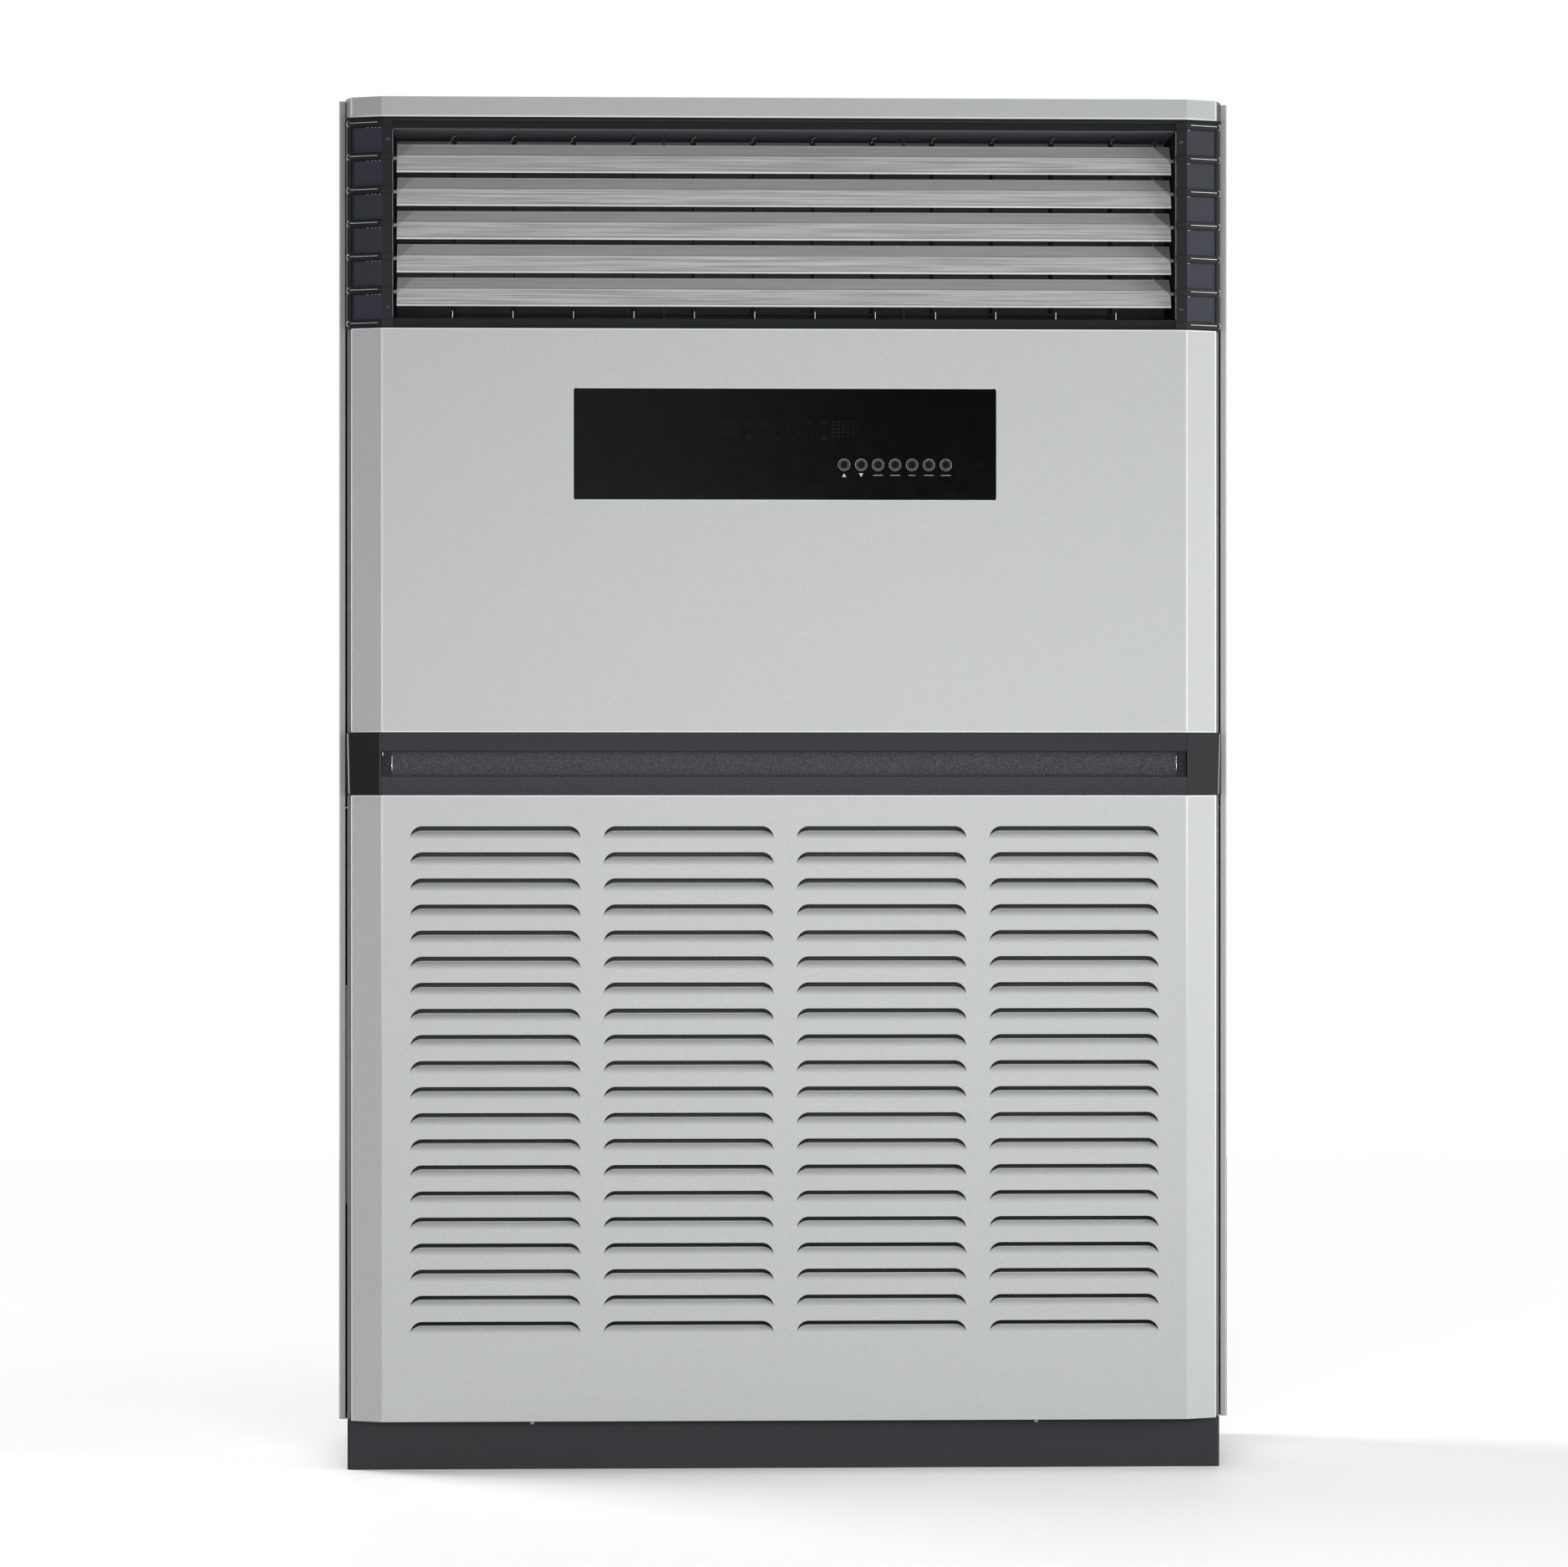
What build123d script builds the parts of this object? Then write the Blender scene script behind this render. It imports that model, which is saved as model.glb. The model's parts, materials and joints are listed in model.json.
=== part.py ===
from build123d import *
import os
from math import atan2, cos, degrees, hypot, radians, sin

# Floor standing air conditioner, indoor cabinet. Millimetres, +Z up, front faces -Y.
# The origin is the middle of the cabinet's footprint, at floor level.

# ---- cabinet ----
WIDTH = 1204.0
DEPTH = 420.0
HEIGHT = 1850.0
SHEET = 1.2
SEAT_GAP = 0.3
SEAM_GAP = 0.5

# ---- front plan: a flat middle with a bevelled facet at each side ----
FRONT_INSET = 17.0
BEVEL_WIDTH = 42.0
BEVEL_DEPTH = 18.0
PANEL_HEM = 14.0

# ---- heights of the front, from the floor up ----
BASE_HEIGHT = 66.0
INTAKE_HEIGHT = 844.0
STRIP_HEIGHT = 84.0
OUTLET_HEIGHT = 284.0
COVER_HEIGHT = 27.0

# ---- base frame ----
BASE_INSET = 12.0
BASE_SETBACK = 26.0
BASE_REAR_SETBACK = 6.0
BASE_SHEET = 2.0
BASE_CORNER_RADIUS = 4.0
FOOT_FLANGE = 42.0
ANCHOR_RADIUS = 6.0
ANCHOR_EDGE = 25.0

# ---- side panels and corner posts ----
SIDE_SETBACK = 45.0
SIDE_FLANGE = 8.0
SIDE_HOOK = 12.0
SIDE_FOOT = 22.0
SIDE_TOP_DROP = 2.0
POST_GROOVE = 3.0
POST_FLANGE = 31.0
POST_DEPTH = 26.0
POST_RETURN = 16.0

# ---- pipe port and cable inlet in the rear panel ----
PORT_WIDTH = 70.0
PORT_HEIGHT = 110.0
PORT_RADIUS = 8.0
PORT_INSET = 42.0
PORT_Z = 180.0
CABLE_INLET_RADIUS = 14.0
CABLE_INLET_Z = 300.0

# ---- louvred intake panel ----
LOUVRE_COLUMNS = 4
LOUVRE_ROWS = 20
LOUVRE_SIDE_MARGIN = 38.2
LOUVRE_GAP = 31.2
LOUVRE_FOOT_MARGIN = 118.7
LOUVRE_CUT_HEIGHT = 16.4
LOUVRE_END_RADIUS = 16.0
LOUVRE_END_CHORDS = 2
LOUVRE_LIP_RISE = 10.4
LOUVRE_LIP_DEPTH = 9.0
LOUVRE_BEND_RISE = 6.0
LOUVRE_BEND_DEPTH = 2.4
LOUVRE_TOP_DROP = 42.0

# ---- middle strip and its end caps ----
STRIP_BAND = 24.8
STRIP_RECESS = 9.0
STRIP_WALL = 2.0
STRIP_BODY = 22.0
STRIP_POCKET_WIDTH = 13.0
STRIP_POCKET_HEIGHT = 22.0
STRIP_POCKET_DEPTH = 5.0
CAP_WALL = 2.5
CAP_OVERHANG = 6.5
CAP_RETURN = 16.0

# ---- air outlet frame ----
OUTLET_INSET = 74.0
OUTLET_WALL = 3.0
OUTLET_SETBACK = 8.0
OUTLET_DUCT_DEPTH = 146.0
OUTLET_TOP_BAND = 16.0
OUTLET_BOTTOM_BAND = 13.5
OUTLET_TOP_LEDGE = 3.7
OUTLET_BOTTOM_LEDGE = 1.4
OUTLET_SIDE_STRIP = 15.0
MULLION_SHARE = 0.3087
MULLION_WIDTH = 3.0
MULLION_DEPTH = 6.0
MULLION_SETBACK = 60.0

# ---- corner mouldings of the outlet ----
CORNER_WALL = 2.5
RIB_PITCH = 45.0
RIB_COUNT = 7
RIB_HEIGHT = 8.0
CORNER_WINDOW_WIDTH = 36.0
CORNER_WINDOW_HEIGHT = 34.0
CORNER_WINDOW_DEPTH = 1.0

# ---- horizontal vanes ----
VANE_COUNT = 5
VANE_END_GAP = 4.5
VANE_PIVOT_SETBACK = 30.0
VANE_BACK_DEPTH = 13.0
VANE_FRONT_DEPTH = 14.0
VANE_HALF_HEIGHT = 20.3
VANE_CREASE_DROP = 15.8
VANE_CREASE_FRONT = 4.5
VANE_BACK_BULGE = 4.0
VANE_EDGE = 1.4
VANE_LIP = 3.2
VANE_PIN_RADIUS = 2.5
RUNNING_CLEARANCE = 0.06
PIN_SIDES = 8
LINK_CLEARANCE = 0.35
VANE_CRANK_BACK = 24.0
VANE_CRANK_UP = 24.0
VANE_LUG_INSET = 28.0
VANE_LUG_THICKNESS = 3.0
LINK_THICKNESS = 3.0
LINK_WIDTH = 8.0
LINK_END = 6.0
CRANK_PIN_RADIUS = 1.8
LINK_SIDE_GAP = 0.5

# ---- upright blades behind the vanes ----
BLADE_COUNT = 12
BLADE_END_MARGIN = 79.75
BLADE_SETBACK = 100.0
BLADE_CHORD = 60.0
BLADE_THICKNESS = 1.6
BLADE_END_GAP = 14.0
BLADE_PIN_RADIUS = 2.0
BLADE_HUB_RADIUS = 3.5
BLADE_CRANK = 22.0
BLADE_HUB_GAP = 0.5

# ---- display and buttons ----
WINDOW_WIDTH = 569.0
WINDOW_HEIGHT = 150.0
WINDOW_THICKNESS = 3.0
WINDOW_RADIUS = 3.0
WINDOW_TOP_DROP = 81.0
WINDOW_RECESS = 0.5
HOUSING_RIM = 15.0
HOUSING_DEPTH = 28.0
HOUSING_WALL = 2.0
HOUSING_INSET = 14.0
BOARD_THICKNESS = 1.6
BOARD_STANDOFF = 8.0
BOARD_MARGIN = 8.0
BOARD_BOSS_RADIUS = 4.0
BUTTON_COUNT = 7
BUTTON_PITCH = 22.9
BUTTON_FIRST_X = 79.5
BUTTON_DROP = 27.5
BUTTON_RADIUS = 5.75
BUTTON_SIDES = 16
BUTTON_CLEARANCE = 0.3
BUTTON_FLANGE_RADIUS = 7.2
BUTTON_FLANGE = 1.2
BUTTON_STEM_RADIUS = 2.5
BUTTON_TRAVEL = 1.0
BUTTON_FLANGE_GAP = 0.2

# ---- blowers ----
DECK_DROP = 18.0
DECK_SHEET = 1.5
BLOWER_SHARE = 0.2367
BLOWER_Z = 500.0
SCROLL_WIDTH = 260.0
SCROLL_FRONT_GAP = 34.0
SCROLL_REAR_GAP = 6.4
SCROLL_GROWTH = 14.0
SCROLL_SHEET = 1.5
INLET_MARGIN = 41.0
WHEEL_MARGIN = 20.0
WHEEL_BLADE_DEPTH = 18.0
WHEEL_BLADES = 12
WHEEL_SIDES = 16
WHEEL_BLADE = 2.0
WHEEL_BLADE_LEAN = 30.0
WHEEL_SIDE_GAP = 12.0
WHEEL_RING = 4.0
WHEEL_HUB_RADIUS = 24.0
WHEEL_HUB_LENGTH = 40.0
SHAFT_RADIUS = 10.0
SHAFT_OVERHANG = 20.0
MOTOR_RADIUS = 86.0
MOTOR_LENGTH = 190.0
STAND_WIDTH = 150.0
STAND_DEPTH = 200.0
STAND_SHEET = 3.0
STAND_RIM = 16.0

# ---- coil, drain pan and pipes ----
COIL_END_MARGIN = 15.0
COIL_THICKNESS = 50.0
COIL_HEADROOM = 89.7
COIL_SETBACK = 98.0
COIL_REAR_GAP = 47.6
COIL_PLATE = 1.5
COIL_PLATE_RIM = 6.0
TUBE_RADIUS = 4.75
TUBE_PITCH = 25.4
TUBE_BENDS = 4
TUBE_SIDES = 8
TUBE_START = 90.0
HEADER_RADIUS = 16.0
HEADER_ROW = 11.0
HEADER_START = 130.0
HEADER_STUBS = 5
HEADER_STUB = 30.0
LIQUID_START = 70.0
PIPE_PAN_GAP = 2.5
PAN_INSET = 57.0
PAN_SETBACK = 50.0
PAN_DEPTH = 110.0
PAN_HEIGHT = 36.0
PAN_WALL = 1.5
PAN_FOOT = 8.0
SPOUT_RADIUS = 10.0
SPOUT_BORE = 8.0
SPOUT_LENGTH = 40.0
SPOUT_INSET = 75.0
GAS_RADIUS = 14.3
LIQUID_RADIUS = 6.35
PIPE_WALL = 1.2
PIPE_SERVICE = 150.0
PIPE_BEND = 50.0
LIQUID_BEND = 22.0
PIPE_END_GAP = 8.0
GAS_Z = 200.0
LIQUID_Z = 150.0
DECK_HOLE_GAP = 4.0

# ---- filters, control box and swing motor ----
FILTER_BORDER = 16.0
FILTER_THICKNESS = 8.0
FILTER_PAD = 2.0
FILTER_INSET = 19.0
FILTER_SIDE_GAP = 4.0
FILTER_END_GAP = 22.0
FILTER_BARS = 4
BOX_WIDTH = 110.0
BOX_DEPTH = 240.0
BOX_HEIGHT = 300.0
BOX_Z = 500.0
BOX_Y = 30.0
BOX_LID = 6.0
BOX_SHEET = 1.5
SWING_RADIUS = 26.0
SWING_HEIGHT = 22.0
SWING_EAR = 13.0
SWING_EAR_WIDTH = 20.0

# ---- screws ----
SCREW_RADIUS = 2.8
SCREW_HEAD = 1.4
PLINTH_SCREW_INSET = 249.0
PLINTH_SCREW_DROP = 4.0
OUTLET_SCREW_INSET = 14.0
REAR_SCREWS = 4
REAR_SCREW_EDGE = 6.0
REAR_SCREW_INSET = 40.0

# ---- planes and levels that follow from the sizes ----
FRONT_Y = -DEPTH / 2
REAR_Y = DEPTH / 2
HALF_FRONT = WIDTH / 2 - FRONT_INSET
HALF_FLAT = HALF_FRONT - BEVEL_WIDTH
STRIP_Z = BASE_HEIGHT + INTAKE_HEIGHT
UPPER_Z = STRIP_Z + STRIP_HEIGHT
COVER_Z = HEIGHT - COVER_HEIGHT
OUTLET_Z = COVER_Z - OUTLET_HEIGHT
SIDE_Y = FRONT_Y + SIDE_SETBACK
HALF_POST = WIDTH / 2 - SIDE_FLANGE - POST_GROOVE
REAR_SHEET_Y = REAR_Y - SCREW_HEAD - SHEET
BASE_WIDTH = WIDTH - 2 * BASE_INSET
PORT_X = WIDTH / 2 - PORT_INSET
OUTLET_HALF_WIDTH = WIDTH / 2 - OUTLET_INSET
BEVEL_ANGLE = degrees(atan2(BEVEL_DEPTH, BEVEL_WIDTH))
DUCT_FLOOR_Z = OUTLET_Z + OUTLET_BOTTOM_BAND
DUCT_CEILING_Z = COVER_Z - OUTLET_TOP_BAND
OUTLET_MID_Z = (DUCT_FLOOR_Z + DUCT_CEILING_Z) / 2
PIVOT_Y = FRONT_Y + VANE_PIVOT_SETBACK
BLADE_Y = FRONT_Y + BLADE_SETBACK
WINDOW_Z = OUTLET_Z - WINDOW_TOP_DROP - WINDOW_HEIGHT / 2
BUTTON_Z = WINDOW_Z - BUTTON_DROP
WINDOW_FACE_Y = FRONT_Y + WINDOW_RECESS
WINDOW_BACK_Y = WINDOW_FACE_Y + WINDOW_THICKNESS

os.makedirs("parts", exist_ok=True)


def write(builder, label):
    """Name a finished piece and write its STEP file."""
    builder.part.label = label
    export_step(builder.part, f"parts/{label}.step")


def inside_points(points, thickness):
    """Corners of the line that runs beside the points, a thickness to their left."""
    normals = []
    for start, end in zip(points, points[1:]):
        run = hypot(end[0] - start[0], end[1] - start[1])
        normals.append(((start[1] - end[1]) / run, (end[0] - start[0]) / run))
    before = [normals[0]] + normals
    after = normals + [normals[-1]]
    inside = []
    for point, first, second in zip(points, before, after):
        mitre = thickness / (1 + first[0] * second[0] + first[1] * second[1])
        inside.append((point[0] + (first[0] + second[0]) * mitre, point[1] + (first[1] + second[1]) * mitre))
    return inside


def bent_sheet(points, thickness):
    """Add a sheet seen on edge: the points are its outside, the sheet lies on their left."""
    Polygon(*points, *reversed(inside_points(points, thickness)), align=None)


def front_path(back_y):
    """Plan of the bevelled front, from the left return round to the right return."""
    return [
        (-HALF_FRONT, back_y),
        (-HALF_FRONT, FRONT_Y + BEVEL_DEPTH),
        (-HALF_FLAT, FRONT_Y),
        (HALF_FLAT, FRONT_Y),
        (HALF_FRONT, FRONT_Y + BEVEL_DEPTH),
        (HALF_FRONT, back_y),
    ]


def front_panel(low_z, high_z):
    """Bevelled front sheet with side returns and a folded hem at its top and bottom."""
    path = front_path(SIDE_Y - SHEET - SEAT_GAP)
    with BuildSketch(Plane.XY.offset(low_z)) as skin:
        bent_sheet(path, SHEET)
    extrude(skin.sketch, amount=high_z - low_z)
    for hem_z in (low_z, high_z - SHEET):
        with BuildSketch(Plane.XY.offset(hem_z)) as hem:
            bent_sheet(path[1:5], PANEL_HEM)
        extrude(hem.sketch, amount=SHEET)


# ---- base frame: four skirt walls, a pan on top and foot flanges that the anchors go through ----
base_y = (FRONT_Y + BASE_SETBACK + REAR_Y - BASE_REAR_SETBACK) / 2
base_depth = DEPTH - BASE_SETBACK - BASE_REAR_SETBACK
foot_y = base_depth / 2 - BASE_SHEET - FOOT_FLANGE / 2
with BuildPart() as base_frame:
    with BuildSketch(Plane.XY):
        with Locations((0, base_y)):
            RectangleRounded(BASE_WIDTH, base_depth, BASE_CORNER_RADIUS)
    extrude(amount=BASE_HEIGHT)
    with BuildSketch(Plane.XY):
        with Locations((0, base_y)):
            RectangleRounded(
                BASE_WIDTH - 2 * BASE_SHEET,
                base_depth - 2 * BASE_SHEET,
                BASE_CORNER_RADIUS - BASE_SHEET,
            )
    extrude(amount=BASE_HEIGHT - BASE_SHEET, mode=Mode.SUBTRACT)
    with BuildSketch(Plane.XY):
        with Locations((0, base_y - foot_y), (0, base_y + foot_y)):
            Rectangle(BASE_WIDTH - 2 * BASE_SHEET - 2 * BASE_CORNER_RADIUS, FOOT_FLANGE)
        with Locations((0, base_y)):
            with GridLocations(BASE_WIDTH - 2 * ANCHOR_EDGE - 2 * FOOT_FLANGE, 2 * foot_y, 2, 2):
                Circle(ANCHOR_RADIUS, mode=Mode.SUBTRACT)
    extrude(amount=BASE_SHEET)
write(base_frame, "base_frame")

# ---- side panels: one folded sheet each, hooked at the front and flanged all round ----
side_low = BASE_HEIGHT + SEAT_GAP
side_high = HEIGHT - SIDE_TOP_DROP
side_path = [
    (WIDTH / 2 - SIDE_FLANGE, SIDE_Y + SIDE_HOOK),
    (WIDTH / 2 - SIDE_FLANGE, SIDE_Y),
    (WIDTH / 2, SIDE_Y),
    (WIDTH / 2, REAR_SHEET_Y - SEAT_GAP),
    (WIDTH / 2 - SIDE_FLANGE, REAR_SHEET_Y - SEAT_GAP),
]
with BuildPart() as right_side_panel:
    with BuildSketch(Plane.XY.offset(side_low)):
        bent_sheet(side_path, SHEET)
    extrude(amount=side_high - side_low)
    with BuildSketch(Plane.XY.offset(side_low)):
        bent_sheet(side_path[2:4], SIDE_FOOT)
    extrude(amount=SHEET)
    with BuildSketch(Plane.XY.offset(side_high - SHEET)):
        bent_sheet(side_path[2:4], SIDE_FLANGE)
    extrude(amount=SHEET)
write(right_side_panel, "right_side_panel")
with BuildPart() as left_side_panel:
    add(right_side_panel.part)
    mirror(about=Plane.YZ, mode=Mode.REPLACE)
write(left_side_panel, "left_side_panel")

# ---- corner posts: C sections that carry the front and the outlet frame ----
post_low = side_low + SHEET + SEAT_GAP
post_high = HEIGHT - SHEET - SEAT_GAP
post_path = [
    (HALF_POST - POST_FLANGE, SIDE_Y - SHEET),
    (HALF_POST, SIDE_Y - SHEET),
    (HALF_POST, SIDE_Y - SHEET + POST_DEPTH),
    (HALF_POST - POST_RETURN, SIDE_Y - SHEET + POST_DEPTH),
]
with BuildPart() as front_posts:
    with BuildSketch(Plane.XY.offset(post_low)):
        bent_sheet(post_path, SHEET)
    extrude(amount=post_high - post_low)
    mirror(about=Plane.YZ)
write(front_posts, "front_posts")

# ---- rear panel with the pipe port and the cable inlet ----
with BuildPart() as rear_panel:
    with BuildSketch(Plane.XZ.offset(-REAR_SHEET_Y)):
        with Locations((0, (side_low + side_high) / 2)):
            Rectangle(WIDTH - 2 * SHEET, side_high - side_low)
        with Locations((PORT_X, PORT_Z)):
            RectangleRounded(PORT_WIDTH, PORT_HEIGHT, PORT_RADIUS, mode=Mode.SUBTRACT)
        with Locations((PORT_X, CABLE_INLET_Z)):
            Circle(CABLE_INLET_RADIUS, mode=Mode.SUBTRACT)
    extrude(amount=-SHEET)
write(rear_panel, "rear_panel")

# ---- top cover: a shallow tray, its skirt bevelled like the front and drawn in to the posts ----
cover_x = WIDTH / 2 - SIDE_FLANGE - SEAM_GAP
cover_rear_y = REAR_SHEET_Y - SEAM_GAP
cover_points = [
    (-cover_x, cover_rear_y),
    (-cover_x, SIDE_Y - SHEET),
    (-HALF_FRONT, FRONT_Y + BEVEL_DEPTH),
    (-HALF_FLAT, FRONT_Y),
    (HALF_FLAT, FRONT_Y),
    (HALF_FRONT, FRONT_Y + BEVEL_DEPTH),
    (cover_x, SIDE_Y - SHEET),
    (cover_x, cover_rear_y),
]
with BuildPart() as top_cover:
    with BuildSketch(Plane.XY.offset(COVER_Z)):
        with BuildLine():
            Polyline(*cover_points, close=True)
        make_face()
    extrude(amount=COVER_HEIGHT)
    with BuildSketch(Plane.XY.offset(COVER_Z)):
        with BuildLine():
            Polyline(*cover_points, close=True)
        make_face()
        offset(amount=-SHEET, kind=Kind.INTERSECTION, mode=Mode.REPLACE)
    extrude(amount=COVER_HEIGHT - SHEET, mode=Mode.SUBTRACT)
write(top_cover, "top_cover")

# ---- upper front panel with the cut-out for the display window ----
window_plane = Plane.XZ.offset(-FRONT_Y)
with BuildPart() as upper_front_panel:
    front_panel(UPPER_Z + SEAM_GAP, OUTLET_Z - SEAM_GAP)
    with BuildSketch(window_plane):
        with Locations((0, WINDOW_Z)):
            RectangleRounded(
                WINDOW_WIDTH + 2 * SEAM_GAP,
                WINDOW_HEIGHT + 2 * SEAM_GAP,
                WINDOW_RADIUS + SEAM_GAP,
            )
    extrude(amount=-SHEET, mode=Mode.SUBTRACT)
write(upper_front_panel, "upper_front_panel")


# ---- louvred intake panel: each louvre is cut round its top and ends, and its tongue is bent in ----
louvre_length = (2 * HALF_FLAT - 2 * LOUVRE_SIDE_MARGIN + LOUVRE_GAP) / LOUVRE_COLUMNS - LOUVRE_GAP
louvre_pitch_x = louvre_length + LOUVRE_GAP
louvre_foot_z = STRIP_Z - LOUVRE_TOP_DROP - LOUVRE_CUT_HEIGHT
louvre_low_z = BASE_HEIGHT + LOUVRE_FOOT_MARGIN
louvre_pitch_z = (louvre_foot_z - louvre_low_z) / (LOUVRE_ROWS - 1)
louvre_mid_z = (louvre_foot_z + louvre_low_z) / 2
louvre_grid = GridLocations(louvre_pitch_x, louvre_pitch_z, LOUVRE_COLUMNS, LOUVRE_ROWS).local_locations


def louvre_outline(rise):
    """Front view of a louvre: straight foot and top, with quarter-round ends down to pointed tips."""
    straight = louvre_length / 2 - LOUVRE_END_RADIUS
    steps = [radians(90 * step / LOUVRE_END_CHORDS) for step in range(LOUVRE_END_CHORDS + 1)]
    right_end = [(straight + LOUVRE_END_RADIUS * cos(step), rise * sin(step)) for step in steps]
    with BuildSketch() as outline:
        with BuildLine():
            Polyline(*right_end, *[(-x, z) for x, z in reversed(right_end)], close=True)
        make_face()
    return outline.sketch


with BuildPart() as tongue:
    with BuildSketch(Plane.YZ.offset(-louvre_length / 2)):
        bent_sheet(
            [
                (FRONT_Y + LOUVRE_LIP_DEPTH, LOUVRE_LIP_RISE),
                (FRONT_Y + LOUVRE_BEND_DEPTH, LOUVRE_BEND_RISE),
                (FRONT_Y, 0),
            ],
            SHEET,
        )
    extrude(amount=louvre_length)
    with BuildSketch(Plane.XZ.offset(-FRONT_Y)):
        add(louvre_outline(LOUVRE_LIP_RISE))
    extrude(amount=-LOUVRE_LIP_DEPTH - 2 * SHEET, mode=Mode.INTERSECT)
with BuildPart() as intake_panel:
    front_panel(BASE_HEIGHT + SEAM_GAP, STRIP_Z - SEAM_GAP)
    with BuildSketch(window_plane):
        with Locations((0, louvre_mid_z)):
            with GridLocations(louvre_pitch_x, louvre_pitch_z, LOUVRE_COLUMNS, LOUVRE_ROWS):
                add(louvre_outline(LOUVRE_CUT_HEIGHT))
    extrude(amount=-SHEET, mode=Mode.SUBTRACT)
    with Locations(*[(place.position.X, 0, louvre_mid_z + place.position.Y) for place in louvre_grid]):
        add(tongue.part)
write(intake_panel, "intake_panel")

# ---- middle strip: an extruded section with two bands and a recessed channel ----
strip_low = STRIP_Z + SEAM_GAP / 2
strip_high = UPPER_Z - SEAM_GAP / 2
strip_face = FRONT_Y + SEAM_GAP
strip_floor = strip_face + STRIP_RECESS
strip_back = strip_face + STRIP_BODY
channel_low = STRIP_Z + STRIP_BAND
channel_high = UPPER_Z - STRIP_BAND
strip_ends = HALF_FLAT - STRIP_POCKET_WIDTH / 2
channel_mid = (channel_low + channel_high) / 2
with BuildPart() as middle_trim_strip:
    with BuildSketch(Plane.YZ.offset(-HALF_FLAT)):
        with BuildLine():
            Polyline(
                (strip_back, strip_low),
                (strip_face, strip_low),
                (strip_face, channel_low),
                (strip_floor, channel_low),
                (strip_floor, channel_high),
                (strip_face, channel_high),
                (strip_face, strip_high),
                (strip_back, strip_high),
                (strip_back, strip_high - STRIP_WALL),
                (strip_face + STRIP_WALL, strip_high - STRIP_WALL),
                (strip_face + STRIP_WALL, channel_high + STRIP_WALL),
                (strip_floor + STRIP_WALL, channel_high + STRIP_WALL),
                (strip_floor + STRIP_WALL, channel_low - STRIP_WALL),
                (strip_face + STRIP_WALL, channel_low - STRIP_WALL),
                (strip_face + STRIP_WALL, strip_low + STRIP_WALL),
                (strip_back, strip_low + STRIP_WALL),
                close=True,
            )
        make_face()
    extrude(amount=2 * HALF_FLAT)
    with BuildSketch(Plane.XZ.offset(-strip_floor - STRIP_POCKET_DEPTH)) as pocket_floor:
        with Locations((-strip_ends, channel_mid), (strip_ends, channel_mid)):
            Rectangle(STRIP_POCKET_WIDTH, channel_high - channel_low + 2 * STRIP_WALL)
    extrude(pocket_floor.sketch, amount=STRIP_POCKET_DEPTH)
    with BuildSketch(Plane.XZ.offset(-strip_floor)):
        with Locations((-strip_ends, channel_mid), (strip_ends, channel_mid)):
            Rectangle(STRIP_POCKET_WIDTH - STRIP_WALL, STRIP_POCKET_HEIGHT)
    extrude(amount=-STRIP_POCKET_DEPTH + STRIP_WALL, mode=Mode.SUBTRACT)
write(middle_trim_strip, "middle_trim_strip")

# ---- end caps of the strip: they wrap the bevels and reach back beside the posts ----
cap_x = HALF_FRONT + CAP_OVERHANG
cap_path = [
    (HALF_FLAT + SEAM_GAP, strip_face),
    (HALF_FLAT + SEAM_GAP + CAP_WALL, strip_face),
    (HALF_FRONT, FRONT_Y + BEVEL_DEPTH - CAP_WALL),
    (cap_x, FRONT_Y + BEVEL_DEPTH),
    (cap_x, FRONT_Y + BEVEL_DEPTH + CAP_RETURN),
]
with BuildPart() as right_trim_cap:
    with BuildSketch(Plane.XY.offset(strip_low)):
        bent_sheet(cap_path, CAP_WALL)
    extrude(amount=strip_high - strip_low)
    for shelf_z in (strip_low, strip_high - CAP_WALL):
        with BuildSketch(Plane.XY.offset(shelf_z)):
            with BuildLine():
                Polyline(cap_path[0], *cap_path[2:4], (cap_path[0][0], cap_path[3][1]), close=True)
            make_face()
        extrude(amount=CAP_WALL)
write(right_trim_cap, "right_trim_cap")
with BuildPart() as left_trim_cap:
    add(right_trim_cap.part)
    mirror(about=Plane.YZ, mode=Mode.REPLACE)
write(left_trim_cap, "left_trim_cap")

# ---- outlet frame: a duct with flanges, ledges over and under the corner mouldings, pivot holes ----
outlet_face = FRONT_Y + OUTLET_SETBACK
duct_x = OUTLET_HALF_WIDTH + OUTLET_WALL
duct_low = DUCT_FLOOR_Z - OUTLET_WALL
duct_high = DUCT_CEILING_Z + OUTLET_WALL
ledge_low = OUTLET_Z
ledge_high = COVER_Z - SEAT_GAP
flange_x = OUTLET_HALF_WIDTH + OUTLET_SIDE_STRIP
top_pivot_z = OUTLET_MID_Z + (VANE_COUNT - 1) * RIB_PITCH / 2
pivot_levels = [top_pivot_z - row * RIB_PITCH for row in range(VANE_COUNT)]
blade_pitch = 2 * (OUTLET_HALF_WIDTH - BLADE_END_MARGIN) / (BLADE_COUNT - 1)
blade_places = [(column - (BLADE_COUNT - 1) / 2) * blade_pitch for column in range(BLADE_COUNT)]
ledge_points = [
    (-flange_x, SIDE_Y - SHEET - SEAT_GAP),
    (-cap_x, SIDE_Y - SHEET - SEAT_GAP),
    (-cap_x, FRONT_Y + BEVEL_DEPTH),
    (-HALF_FLAT, FRONT_Y + SEAM_GAP),
    (HALF_FLAT, FRONT_Y + SEAM_GAP),
    (cap_x, FRONT_Y + BEVEL_DEPTH),
    (cap_x, SIDE_Y - SHEET - SEAT_GAP),
    (flange_x, SIDE_Y - SHEET - SEAT_GAP),
]
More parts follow.
